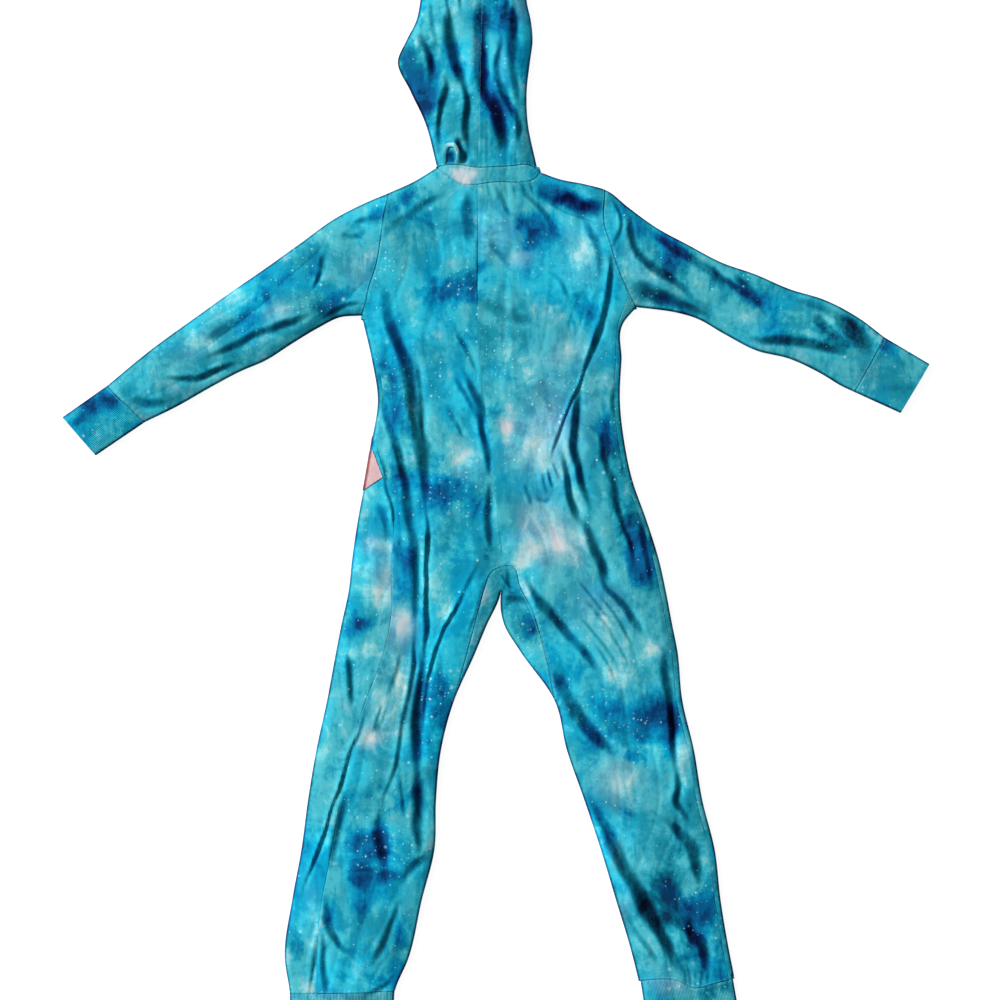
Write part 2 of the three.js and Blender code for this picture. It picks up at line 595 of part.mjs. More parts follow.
const PIECES = [
  ['back_left', leftBody.intersect(above(backLeftOutline)), PRINT],
  ['back_right', rightBody.intersect(above(backRightOutline)), PRINT],
  ['front_left', wholeBody.intersect(below(frontLeftOutline).add(prism(leftWrapOutline))), PRINT],
  ['front_right', wholeBody.intersect(below(frontRightOutline).add(prism(rightWrapOutline))), PRINT],
  ['crotch_gusset', wholeBody.intersect(prism(gussetOutline)), PRINT],
  ['front_placket', wholeBody.intersect(below(PLACKET)), PRINT],
  ['front_pocket', pocketSkin.intersect(overUnder(POCKET_ABOVE, POCKET_BELOW)), PINK],
  ['sleeve_left', sleeveShell(LEFT_SLEEVE, LEFT_SLEEVE_START).intersect(prism(leftSleeveOutline)), PRINT],
  ['sleeve_right', sleeveShell(RIGHT_SLEEVE, RIGHT_SLEEVE_START).intersect(prism(rightSleeveOutline)), PRINT],
  ...Object.entries(cuffOutlines).map(([name, outline]) => (
    [name, cuffShell(CUFFS[name]).intersect(prism(outline)), PRINT]
  )),
  ['hood_left', hoodShell.intersect(overUnder(hoodUpper.left, hoodLower.left)), PRINT],
  ['hood_right', hoodShell.intersect(overUnder(hoodUpper.right, hoodLower.right)), PRINT],
  ['neck_band', hoodShell.intersect(above(neckBandOutline)), PRINT],
  ['hang_loop', strap(LOOP_PATH, LOOP_WIDTH), PRINT],
];

function meshOf(name, solid, look) {
  const { numProp, vertProperties, triVerts } = mainBody(solid).getMesh();
  const positions = new Float32Array((vertProperties.length / numProp) * 3);
  positions.forEach((_, i) => {
    positions[i] = vertProperties[Math.floor(i / 3) * numProp + (i % 3)];
  });
  const geometry = new THREE.BufferGeometry();
  geometry.setAttribute('position', new THREE.BufferAttribute(positions, 3));
  geometry.setIndex([...triVerts]);
  const mesh = new THREE.Mesh(geometry, new THREE.MeshStandardMaterial(look));
  mesh.name = name;
  return mesh;
}

const group = new THREE.Group();
PIECES.forEach((piece) => group.add(meshOf(...piece)));

export default group;
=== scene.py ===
"""A child's hooded one-piece sleep suit, laid flat on its front, back upwards.

Tables are in millimetres, in the CAD frame: +X is the wearer's right, +Y points to the hood and
+Z is up. Each piece of cloth is cut from a thin-walled tube, as the CAD solids are, with the
creases of the laid cloth in its upper layer.
"""

import math

import bmesh
import bpy
import numpy as np
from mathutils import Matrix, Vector
from mathutils.kdtree import KDTree


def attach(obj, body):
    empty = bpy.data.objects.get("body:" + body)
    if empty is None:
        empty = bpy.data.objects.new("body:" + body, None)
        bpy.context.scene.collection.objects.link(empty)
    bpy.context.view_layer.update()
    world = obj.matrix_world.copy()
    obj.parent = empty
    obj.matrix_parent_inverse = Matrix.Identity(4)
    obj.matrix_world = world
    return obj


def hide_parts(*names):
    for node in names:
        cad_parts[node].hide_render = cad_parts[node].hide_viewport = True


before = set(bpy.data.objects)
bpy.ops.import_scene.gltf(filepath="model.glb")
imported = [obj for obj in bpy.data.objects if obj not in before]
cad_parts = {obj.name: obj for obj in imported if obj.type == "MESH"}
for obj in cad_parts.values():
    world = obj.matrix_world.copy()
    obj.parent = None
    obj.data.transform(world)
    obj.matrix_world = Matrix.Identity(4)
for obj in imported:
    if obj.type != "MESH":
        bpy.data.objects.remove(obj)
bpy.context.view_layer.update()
MM = 0.001

# ---------- camera ----------

VIEW_CENTRE = (4.8, -39.6)
VIEW_WIDTH = 1200.0
GARMENT_PLANE = 8.0
LENS, SENSOR = 85.0, 36.0


def make_camera():
    data = bpy.data.cameras.new("camera")
    data.lens = LENS
    data.sensor_width = SENSOR
    data.clip_end = 50
    camera = bpy.data.objects.new("camera", data)
    height = GARMENT_PLANE + VIEW_WIDTH * LENS / SENSOR
    camera.location = (VIEW_CENTRE[0] * MM, VIEW_CENTRE[1] * MM, height * MM)
    bpy.context.scene.collection.objects.link(camera)
    bpy.context.scene.camera = camera


make_camera()

# ---------- driving sizes, mm ----------

JERSEY = 1.2
RIB = 1.6
SEAM_GAP = 0.06
RADIUS = 3.0  # of the folded edges
BODY_LOFT = 8.0
HOOD_LOFT = 15.0
HOOD_LOFT_FROM, HOOD_LOFT_TO = 350.0, 420.0
LOFT_REACH = 18.0
FOLD_FADE = 14.0
OVERRUN = 3.0
SIDE_WRAP = 7.0
TALL = 80.0
RELIEF_BOX, RELIEF_STEP = ((-535.0, -700.0), (535.0, 700.0)), 1.0
INNER_ERODE = 0.5
AWAY_FROM_LIGHT = np.array([0.85, -0.53])
CREASE_VARIES = 0.3
POCKET_GAP = 0.1
STEP = 2.0  # of the outer grids
INNER_STEP = 2.8
EDGE_STEPS = np.array([0.0, 0.08, 0.3, 0.62, 1.0])  # shares of the radius, round a folded edge
NECK_STEPS = np.array([0, 0.25, 0.9, 1.9, 3.2])  # below the top of the body
WIDEST = {  # mm, each grid's widest ring, which sets how many columns the grid has
    "left": 156, "right": 196, "sleeve": 152, "hood": 160, "ankle": 128, "wrist": 76,
}
BODY_LOWEST = {"left": -644, "right": -632}
ARMPIT_ROW = 176  # y at which the left side's table starts
CROTCH_STEP = 1.2
YOKE_BLEND = 6  # rows from the yoke to the body below it, with both ends counted
SLEEVE_LEAD, SLEEVE_PAST_WRIST = 20, 12  # mm before the sleeve's first ring, and past the wrist
HOOD_LOWEST, HOOD_FINE_FROM, HOOD_TOP = 285, 660, 687

# ---------- tables ----------

LEFT_ROWS = np.array([  # y, outer
    (176, -160), (128, -149), (80, -142), (32, -149), (-16, -157), (-64, -166), (-112, -173),
    (-148, -177), (-190, -186), (-226, -193), (-280, -203), (-340, -216), (-400, -226),
    (-460, -234), (-520, -245), (-590, -254), (-632, -248), (-660, -247),
], float)
RIGHT_ROWS = np.array([
    (190, 167), (176, 155), (128, 151), (80, 149), (32, 154), (-16, 164), (-64, 181),
    (-112, 196), (-148, 204), (-190, 212), (-220, 218), (-280, 224), (-340, 238), (-400, 248),
    (-460, 263), (-520, 270), (-580, 280), (-616, 287), (-650, 292),
], float)
CENTRE_ROWS = np.array([
    (374, -22), (176, -22), (128, -19), (80, -14), (32, -8), (-16, -3), (-64, 3), (-112, 8),
    (-150, 6),
], float)
CROTCH_Y = -150.0
LEFT_INSEAM = np.array([
    (-150, 6), (-156, 4.5), (-190, -11), (-226, -26), (-280, -50), (-340, -66), (-400, -72),
    (-460, -74), (-520, -89), (-590, -105), (-632, -122), (-660, -124),
], float)
RIGHT_INSEAM = np.array([
    (-150, 6), (-156, 5.5), (-190, 10), (-220, 28), (-280, 70), (-340, 85), (-400, 106),
    (-460, 126), (-520, 144), (-580, 162), (-616, 171), (-650, 178),
], float)
NECK_OVERRUN = 374.0
LEFT_YOKE, RIGHT_YOKE = (-176.0, 181.0), (187.0, 195.0)  # end column, y of the armpit line

# The first two points of each upper edge are the shoulder, the others the sleeve's rings.
LEFT_TOP = [
    (-71, 360), (-97, 344), (-130, 329), (-156, 318), (-193, 299), (-235, 269), (-277, 239),
    (-319, 210), (-361, 180), (-416, 140), (-467, 98),
]
LEFT_LOW = [
    (-162, 182), (-187, 180), (-214, 167), (-244, 149), (-277, 128), (-307, 115), (-341, 97),
    (-385, 72), (-422, 54),
]
RIGHT_TOP = [
    (54, 354), (77, 346), (107, 340), (134, 332), (158, 313), (191, 289), (233, 266),
    (271, 246), (311, 232), (353, 214), (395, 201), (435, 180), (467, 156),
]
RIGHT_LOW = [
    (168, 192), (187, 190), (215, 186), (240, 179), (274, 160), (313, 140), (353, 130),
    (391, 112), (416, 97), (431, 90),
]
LEFT_SLEEVE_START = [(-112, 338), (-146, 172)]
RIGHT_SLEEVE_START = [(112, 339), (150, 172)]

CUFFS = {  # ends of the seam, ends of the open edge
    "wrist_cuff_left": [(-467, 98), (-422, 54), (-521, 60), (-481, 14)],
    "wrist_cuff_right": [(467, 156), (431, 90), (521, 124), (486, 65)],
    "ankle_cuff_left": [(-248, -632), (-122, -630), (-246, -687), (-125, -687)],
    "ankle_cuff_right": [(174, -620), (284, -610), (184, -684), (295, -673)],
}
HOOD_ROWS = np.array([  # y, left, right
    (285, -96, 82), (352, -92, 76), (361, -71, 49), (416, -86, 38), (452, -103, 37),
    (488, -118, 41), (512, -108, 44), (536, -96, 42), (560, -91, 37), (590, -89, 38),
    (620, -85, 36), (646, -76, 28), (668, -60, 14), (682, -43, 0), (687, -30, -12),
], float)
HOOD_FOLDED_FROM = 361.0

NECK_LEFT, NECK_RIGHT = (-71, 360), (54, 354)
BACK_NECK_LEFT = [NECK_LEFT, (-54, 346), (-38, 338), (-22, 338)]
BACK_NECK_RIGHT = [(-22, 338), (0, 341), (28, 341), (46, 345), NECK_RIGHT]
HOOD_SEAM_LEFT = [NECK_LEFT, (-54, 362), (-22, 358)]
HOOD_SEAM_RIGHT = [(-22, 358), (17, 360), (42, 361), NECK_RIGHT]
FRONT_NECK_LEFT = [NECK_LEFT, (-52, 325), (-28, 306), (-14, 302)]
FRONT_NECK_RIGHT = [(16, 302), (30, 305), (46, 322), NECK_RIGHT]
PLACKET = [(-14, 302), (16, 302), (20, -70), (-10, -70)]
CENTRE_FRONT = [(6, -70), (8, -119)]
CENTRE_BACK = [(-22, 338), *[(x, y) for y, x in CENTRE_ROWS[1:8]], (8, -119)]
HOOD_CENTRE = [(-22, 358), (-20, 404), (-19, 464), (-17, 560), (-22, 632), (-25, 700)]
LEFT_ARMHOLE_UP = [(-129, 345), (-130, 322), (-134, 302), (-138, 272), (-144, 239), (-152, 215), (-156, 196)]
LEFT_ARMHOLE_LOW = [(-156, 196), (-160, 185), (-162, 180.5), (-162.2, 172)]
RIGHT_ARMHOLE_UP = [(133, 346), (131, 325), (130, 293), (138, 266), (150, 230), (160, 208)]
RIGHT_ARMHOLE_LOW = [(160, 208), (168, 193), (174, 180)]
LEFT_SIDE = [
    (-156, 196), (-152, 172), (-142, 128), (-135, 80), (-142, 26), (-130, -16), (-122, -64),
    (-125, -112), (-126, -184), (-137, -232), (-156, -280), (-181, -376), (-199, -472),
    (-209, -524), (-214, -576), (-216, -632),
]
RIGHT_SIDE = [(160, 208), (154, 192), (148, 176)] + [
    (x - SIDE_WRAP, y) for y, x in RIGHT_ROWS[2:18]
]
GUSSET_LEFT = [(8, -119), (-5, -126), (-13, -145), (-19, -167), (-32, -215), (-50, -280)]
GUSSET_LEFT_END = (-40, -296)
GUSSET_RIGHT = [(8, -119), (21, -120), (29, -142), (44, -172), (59, -222), (70, -276)]
GUSSET_RIGHT_END = (62, -292)
LEFT_ANKLE = [(-100, -629.5), (-216, -632), (-300, -634)]
RIGHT_ANKLE = [(150, -620), (223, -618), (234, -624), (262, -620), (280, -616), (330, -604)]
LEFT_WRIST = [(-489, 119), (-400, 33)]
RIGHT_WRIST = [(483, 186), (417, 64)]
FACE_FROM, FACE_TO, FACE_HALF = (1, 302), (-22, 632), 24.0
POCKET_ABOVE = [(-148, 20), (-136, -12), (-158, -27), (-190, -30), (-190, 4)]
POCKET_BELOW = [(-190, 34), (-60, 44), (-56, -74), (-156, -28), (-190, -30)]
POCKET_BED = {"x": -110, "half_x": 80, "fall_x": 24, "y": -16, "half_y": 96, "fall_y": 36}
POCKET_REACH_Y, POCKET_COLUMNS = 80, 62
LOOP_WIDTH = 4.6
LOOP_PATH = [(-62, 364), (-62, 375), (-58, 385), (-51, 385), (-46, 377), (-45, 365)]

# Creases of the upper layer, listed: half width, half height, lean and route. A leaning
# crease (1) steps down away from the light, and one that doesn't lean (0) is an even trough.
CREASES = [
    # left side of the back and left leg
    (5.0, 3.4, 0.7, [(-139, 104), (-137, 80), (-131, 55), (-121, 29), (-113, 1), (-108, -31),
        (-105, -61), (-100, -85), (-97, -115), (-97, -160), (-97, -212)]),
    (2.6, 2.2, 0.9, [(-97, -180), (-98, -225), (-104, -265), (-112, -310), (-121, -364), (-127, -381),
        (-137, -402), (-141, -424)]),
    (5.0, 2.4, 0.6, [(-140, -408), (-142, -440), (-137, -463), (-130, -486)]),
    (8.0, 4.8, 0.7, [(-142, 226), (-135, 211), (-126, 170), (-112, 138), (-103, 95), (-97, 62),
        (-90, 30), (-86, -15), (-84, -60)]),
    (2.6, 2.6, 1.0, [(-85, -30), (-82, -75), (-83, -115), (-84, -154), (-85, -206), (-88, -244)]),
    (6.0, 4.6, 0.5, [(-87, -212), (-90, -248), (-95, -287), (-95, -347), (-94, -380)]),
    (5.2, 4.2, 0.5, [(-95, -350), (-94, -387), (-94, -446), (-93, -470)]),
    (3.0, 1.8, 1.0, [(-99, 136), (-93, 104), (-89, 65), (-87, 25)]),
    (2.2, 1.5, 1.0, [(-143, 30), (-135, -3), (-129, -35), (-123, -61), (-121, -92)]),
    (5.0, 1.6, 0.5, [(-141, -42), (-131, -68), (-124, -94)]),
    (4.6, 3.4, 0.8, [(-43, 126), (-28, 92), (-20, 74), (-16, 45), (-10, 15), (-6, -18)]),
    (4.6, 3.2, 0.7, [(-7, -14), (-9, -39), (-10, -65), (-8, -85), (-6, -106)]),
    (2.8, 1.4, 1.0, [(-49, 110), (-34, 83), (-22, 60)]),
    (3.0, 1.2, 0.8, [(-64, 76), (-50, 52), (-37, 32)]),
    (2.6, 2.1, 1.0, [(-15, -102), (-28, -130), (-40, -152), (-52, -174), (-68, -207), (-80, -243),
        (-86, -287), (-89, -340)]),
    (2.0, 1.0, 1.0, [(-2, -118), (-14, -144), (-24, -174), (-34, -208)]),
    (2.4, 2.0, 1.0, [(-155, -274), (-160, -306), (-175, -345), (-194, -404), (-204, -431),
        (-213, -455), (-223, -482), (-238, -528)]),
    (4.0, 2.0, 0.9, [(-180, -388), (-187, -425), (-194, -455), (-199, -484)]),
    (2.6, 1.8, 0.9, [(-213, -552), (-217, -580), (-221, -606), (-224, -636)]),
    (3.0, 2.0, 0.9, [(-208, -552), (-208, -580), (-205, -612), (-202, -636)]),
    (4.2, 3.0, 0.6, [(-207, -516), (-204, -532), (-201, -549), (-194, -565), (-186, -576),
        (-175, -580), (-156, -579)]),
    (4.0, 2.0, 0.7, [(-117, -514), (-121, -532), (-127, -547), (-133, -565), (-140, -580),
        (-152, -600)]),
    (5.0, 2.4, 0.5, [(-112, -496), (-100, -479), (-94, -473), (-78, -470)]),
    (2.6, 1.3, 0.9, [(-114, -366), (-113, -392), (-112, -418)]),
    (3.0, 1.6, 0.8, [(-124, -612), (-140, -625), (-158, -634)]),
    (4.0, 2.4, 0.8, [(-179, -216), (-176, -247), (-174, -292)]),
    (2.6, 1.0, 0.9, [(-114, -220), (-122, -253), (-131, -280)]),
    (2.6, 1.0, 0.9, [(-137, -280), (-148, -320)]),
    (2.6, 0.9, 0.9, [(-129, -284), (-144, -318)]),
    # right side of the back
    (3.4, 3.4, 0.9, [(138, 264), (136, 225), (130, 190), (121, 160), (110, 128), (100, 102)]),
    (2.0, 2.0, 1.0, [(113, 136), (101, 104), (91, 82), (81, 59), (71, 27), (64, 2)]),
    (2.0, 1.2, 1.0, [(65, 6), (71, -7), (77, -20)]),
    (2.0, 1.3, 1.0, [(59, 0), (64, -14), (70, -28)]),
    (2.0, 1.2, 1.0, [(53, -4), (57, -18), (62, -32)]),
    (3.0, 1.4, 0.3, [(47, -34), (58, -41), (68, -37)]),
    (3.0, 1.4, 0.8, [(33, -18), (38, -32), (42, -48)]),
    (4.8, 3.6, 0.7, [(104, 112), (99, 92), (95, 55), (93, 25), (97, 1), (103, -23), (109, -39),
        (113, -56)]),
    (4.8, 3.6, 0.7, [(77, 22), (83, -7), (87, -35), (95, -55), (108, -74)]),
    (6.0, 4.4, 0.7, [(100, -60), (110, -75), (118, -97), (128, -124), (129, -146)]),
    (5.0, 2.8, 0.8, [(125, -130), (133, -147), (140, -152), (150, -162), (162, -178), (178, -204)]),
    (4.0, 2.3, 0.8, [(121, 56), (126, 39), (128, 19), (138, -15), (142, -41), (150, -65), (158, -85),
        (167, -130)]),
    (4.0, 2.2, 0.6, [(170, -46), (175, -75), (178, -95), (184, -124), (189, -154)]),
    (4.0, 2.0, 0.7, [(143, 104), (141, 80), (143, 52)]),
    (5.5, 4.2, 0.8, [(31, -124), (40, -142), (48, -154), (62, -174), (77, -190), (91, -206),
        (108, -225), (126, -254)]),
    (2.5, 1.8, 0.4, [(11, -121), (15, -134), (19, -150)]),
    (2.0, 1.3, 0.8, [(2, -126), (14, -138), (24, -148)]),
    (2.0, 1.3, 0.8, [(0, -137), (13, -146), (27, -153)]),
    (5.0, 2.2, 0.3, [(6, -155), (24, -158), (44, -164)]),
    # right leg
    (8.5, 5.6, 0.7, [(66, -232), (76, -258), (88, -283), (106, -308), (126, -330), (152, -348)]),
    (5.0, 3.4, 0.6, [(202, -206), (202, -242), (207, -270), (211, -310), (214, -346), (217, -378)]),
    (4.4, 2.6, 0.8, [(216, -358), (218, -381), (216, -402), (225, -416), (234, -430)]),
    (6.0, 4.2, 0.6, [(199, -420), (210, -431), (221, -439), (233, -452), (239, -469), (242, -487),
        (244, -508)]),
    (6.5, 3.8, 0.5, [(226, -538), (230, -547), (235, -561), (246, -568), (251, -584), (250, -606)]),
    (9.0, 6.4, 0.9, [(92, -372), (100, -388), (112, -409), (124, -429), (137, -448), (147, -469),
        (160, -492), (172, -513), (182, -533), (193, -550), (203, -571), (212, -589), (224, -612)]),
    (4.0, 1.8, 0.8, [(148, -520), (154, -532), (165, -554), (177, -571), (189, -588), (199, -600)]),
    (2.2, 1.1, 0.9, [(92, -130), (106, -147), (120, -164), (146, -194)]),
    (2.2, 1.1, 0.9, [(118, -150), (136, -168), (150, -190), (166, -216)]),
    (2.2, 1.0, 0.9, [(104, -158), (122, -178), (140, -200)]),
    (2.2, 1.0, 0.9, [(98, -176), (116, -198), (134, -222), (150, -246)]),
    (2.2, 1.0, 0.9, [(128, -190), (146, -214), (160, -240)]),
    (2.2, 1.0, 0.9, [(112, -206), (128, -228), (146, -262)]),
    *[(1.8, 0.9, 0.2, [(x, -624), (x + lean, -600)])
      for x, lean in ((229, -3), (235, -5), (240, -2), (246, 2), (251, 6))],
    # shoulders, beneath the neck band
    *[(1.9, 1.0, 0.4, [(x, y), (x + 5, y - 22)])
      for x, y in ((-10, 342), (1, 340), (11, 339), (21, 339), (31, 341), (41, 345))],
    (4.0, 1.8, 0.7, [(26, 339), (40, 322), (59, 304), (79, 272)]),
    (3.0, 1.5, 0.7, [(4, 337), (10, 318), (18, 298)]),
    (12.0, 6.0, 0.8, [(50, 338), (68, 330), (90, 319), (112, 310), (132, 304)]),
    (2.4, 1.2, -1.0, [(54, 322), (84, 305), (108, 297), (130, 292)]),
    (8.0, 2.6, 0.6, [(-33, 334), (-33, 300), (-31, 262)]),
    (4.0, 1.4, 0.7, [(-10, 273), (6, 253), (21, 243)]),
    (7.0, 1.8, 0.6, [(-24, 206), (11, 183), (48, 172)]),
    (3.0, 1.2, 0.8, [(58, 236), (77, 223), (89, 196)]),
    (4.0, 1.6, 0.7, [(103, 302), (120, 266), (125, 222)]),
    (5.0, 1.4, 0.6, [(-134, 280), (-96, 309), (-54, 331)]),
    (3.0, 1.4, 0.8, [(-50, 166), (-32, 131), (-22, 112)]),
    # right sleeve
    (2.4, 1.6, 1.0, [(136, 330), (149, 300), (146, 279), (138, 256)]),
    (6.2, 4.0, 0.6, [(160, 318), (161, 279), (170, 256), (191, 238), (212, 224), (238, 203)]),
    (8.0, 5.2, 0.8, [(156, 222), (180, 212), (206, 200), (232, 189), (260, 174)]),
    (5.5, 3.2, 0.8, [(290, 154), (320, 152), (342, 151), (391, 143), (430, 130)]),
    (6.0, 3.2, 0.3, [(376, 181), (390, 171), (402, 162), (415, 151)]),
    (6.0, 3.0, 0.7, [(172, 296), (196, 276), (226, 256), (254, 236), (282, 212)]),
    (4.5, 2.6, 0.7, [(240, 253), (270, 228), (314, 195)]),
    (10.0, 4.4, 0.8, [(404, 186), (424, 168), (440, 148), (448, 132)]),
    (4.0, 1.8, 0.7, [(284, 234), (306, 208), (325, 178)]),
    (5.0, 2.2, 0.6, [(352, 204), (392, 191), (419, 174), (434, 153)]),
    # left sleeve
    (3.0, 1.8, 0.4, [(-190, 281), (-172, 275), (-156, 280)]),
    (4.5, 2.2, 0.7, [(-172, 292), (-150, 297), (-130, 292)]),
    (3.0, 1.5, 0.8, [(-205, 260), (-209, 248), (-211, 232), (-220, 210)]),
    (4.5, 2.5, 0.8, [(-212, 190), (-246, 173), (-267, 165), (-294, 157), (-321, 143), (-356, 128)]),
    (3.0, 1.6, 0.8, [(-158, 199), (-187, 192), (-209, 179)]),
    (4.5, 2.5, 0.8, [(-304, 127), (-332, 117), (-364, 106), (-402, 108)]),
    (5.0, 2.6, 0.5, [(-390, 76), (-417, 77), (-440, 82)]),
    (5.0, 1.4, 0.5, [(-284, 194), (-320, 168), (-356, 146)]),
    # hood
    (9.0, 7.0, 0.4, [(-13, 566), (-18, 529), (-16, 473), (-14, 446), (-8, 428)]),
    (8.5, 5.6, 0.5, [(-13, 458), (-4, 436), (4, 412), (8, 392), (8, 374)]),
    (8.0, 5.0, 0.8, [(-58, 556), (-57, 524), (-50, 492), (-42, 468), (-34, 446)]),
    (5.0, 3.6, 0.8, [(-40, 470), (-35, 440), (-37, 404), (-31, 366)]),
    (5.0, 4.2, 0.7, [(-50, 394), (-43, 380), (-38, 362)]),
    (3.0, 2.2, 0.0, [(-54, 379), (-53, 364)]),
    (4.6, 3.4, 0.7, [(-59, 474), (-60, 457), (-66, 425), (-70, 395), (-70, 366)]),
    (5.5, 3.2, 0.7, [(-96, 524), (-80, 490), (-74, 456)]),
    (4.5, 3.0, 0.7, [(8, 524), (1, 470), (13, 440), (26, 414), (23, 378)]),
    (5.0, 2.6, 0.7, [(25, 566), (20, 518), (20, 476), (29, 424)]),
    (2.6, 1.2, 0.8, [(-82, 566), (-74, 520), (-70, 486)]),
    (2.6, 1.2, 0.8, [(-40, 626), (-44, 580), (-40, 536)]),
    (2.6, 1.2, 0.8, [(1, 616), (-2, 570), (3, 536)]),
    (2.6, 1.2, 0.8, [(-62, 606), (-60, 560), (-52, 526)]),
]


# ---------- curves ----------


def tangents(knots, values):
    """Slopes of a smooth curve through values at knots."""
    gaps = np.diff(knots)[:, None]
    slopes = np.diff(values, axis=0) / gaps
    inner = (slopes[:-1] * gaps[1:] + slopes[1:] * gaps[:-1]) / (gaps[1:] + gaps[:-1])
    return np.vstack([slopes[:1], inner, slopes[-1:]])


def curve_at(knots, values, places):
    """The smooth curve through values at knots, at places between the first and last knot."""
    slopes = tangents(knots, values)
    i = np.clip(np.searchsorted(knots, places, side="right") - 1, 0, len(knots) - 2)
    gap = (knots[i + 1] - knots[i])[:, None]
    t = (places - knots[i])[:, None] / gap
    return (
        (2 * t**3 - 3 * t**2 + 1) * values[i]
        + (t**3 - 2 * t**2 + t) * gap * slopes[i]
        + (3 * t**2 - 2 * t**3) * values[i + 1]
        + (t**3 - t**2) * gap * slopes[i + 1]
    )


def chords(points):
    return np.concatenate([[0], np.cumsum(np.hypot(*np.diff(points, axis=0).T))])


def smooth_line(points, step=2.0):
    """A smooth line through the points, sampled about every step."""
    points = np.asarray(points, float)
    knots = chords(points)
    places = [
        np.linspace(a, b, max(2, math.ceil((b - a) / step) + 1))[:-1]
        for a, b in zip(knots[:-1], knots[1:])
    ]
    return curve_at(knots, points, np.concatenate([*places, knots[-1:]]))


def along_rings(points, places):
    """Points of a smooth line at places counted in its own points, 0 to n - 1."""
    points = np.asarray(points, float)
    knots = chords(points)
    return curve_at(knots, points, np.interp(places, np.arange(len(points)), knots))


def table_at(rows, y, column=1):
    """The smooth value of a table's column at each y. The table's y rise or fall throughout."""
    rows = np.asarray(rows, float)[::-1] if rows[0][0] > rows[-1][0] else np.asarray(rows, float)
    knots = rows[:, 0]
    return curve_at(knots, rows[:, column : column + 1], np.clip(y, knots[0], knots[-1]))[:, 0]


def smoothstep(value):
    t = np.clip(value, 0, 1)
    return t * t * (3 - 2 * t)


# ---------- noise, the same on each run ----------

LATTICE = 128


def value_noise(x, y, seed):
    """Smooth noise from -1 to 1, one cell to a unit."""
    lattice = np.random.default_rng(seed).uniform(-1, 1, (LATTICE, LATTICE))
    ix, iy = np.floor(x).astype(int), np.floor(y).astype(int)
    fx, fy = smoothstep(x - ix), smoothstep(y - iy)
    at = lambda dx, dy: lattice[(ix + dx) % LATTICE, (iy + dy) % LATTICE]
    low = at(0, 0) * (1 - fx) + at(1, 0) * fx
    high = at(0, 1) * (1 - fx) + at(1, 1) * fx
    return low * (1 - fy) + high * fy


def fractal(x, y, seed, octaves=3):
    total = sum(value_noise(x * 2**k, y * 2**k, seed + k) / 2**k for k in range(octaves))
    return total / sum(0.5**k for k in range(octaves))


# ---------- the outline ----------


def rows_line(rows, low, high, column=1):
    y = np.arange(high, low - 0.01, -2.0)
    return np.column_stack([table_at(rows, y, column), y])


def beyond(a, b, distance=40.0):
    """Where the line from a to b comes out, distance past b."""
    a, b = np.asarray(a, float), np.asarray(b, float)
    return b + (b - a) / np.linalg.norm(b - a) * distance


def fold_edges():
    """The laid suit's folded edges, with the open cuff ends left out."""
    edges = []
    for rows, low, high, name, side in (
        (LEFT_ROWS, -632, 176, "ankle_cuff_left", 0),
        (LEFT_INSEAM, -632, CROTCH_Y, "ankle_cuff_left", 1),
        (RIGHT_ROWS, -610, 190, "ankle_cuff_right", 1),
        (RIGHT_INSEAM, -620, CROTCH_Y, "ankle_cuff_right", 0),
    ):
        seam, opening = CUFFS[name][side], CUFFS[name][side + 2]
        edges.append(np.vstack([rows_line(rows, low, high), [seam], [beyond(seam, opening)]]))
    for line, name, side in (
        (LEFT_TOP, "wrist_cuff_left", 0), (LEFT_LOW, "wrist_cuff_left", 1),
        (RIGHT_TOP, "wrist_cuff_right", 0), (RIGHT_LOW, "wrist_cuff_right", 1),
    ):
        seam, opening = CUFFS[name][side], CUFFS[name][side + 2]
        edges.append(np.vstack([smooth_line(line), [beyond(seam, opening)]]))
    hood_y = np.concatenate([
        np.arange(HOOD_FOLDED_FROM, HOOD_FINE_FROM, 2.0),
        np.arange(HOOD_FINE_FROM, HOOD_TOP + 0.1, 0.5),
    ])
    hood = [np.column_stack([hood_side(hood_y, column), hood_y]) for column in (1, 2)]
    edges.append(np.vstack([hood[0], hood[1][::-1]]))
    return edges


def hood_side(y, column):
    """X of the hood's left (1) or right (2) edge. The skirt below its fold is straight."""
    skirt = np.interp(y, HOOD_ROWS[:3, 0], HOOD_ROWS[:3, column])
    return np.where(y < HOOD_FOLDED_FROM, skirt, table_at(HOOD_ROWS[2:], y, column))


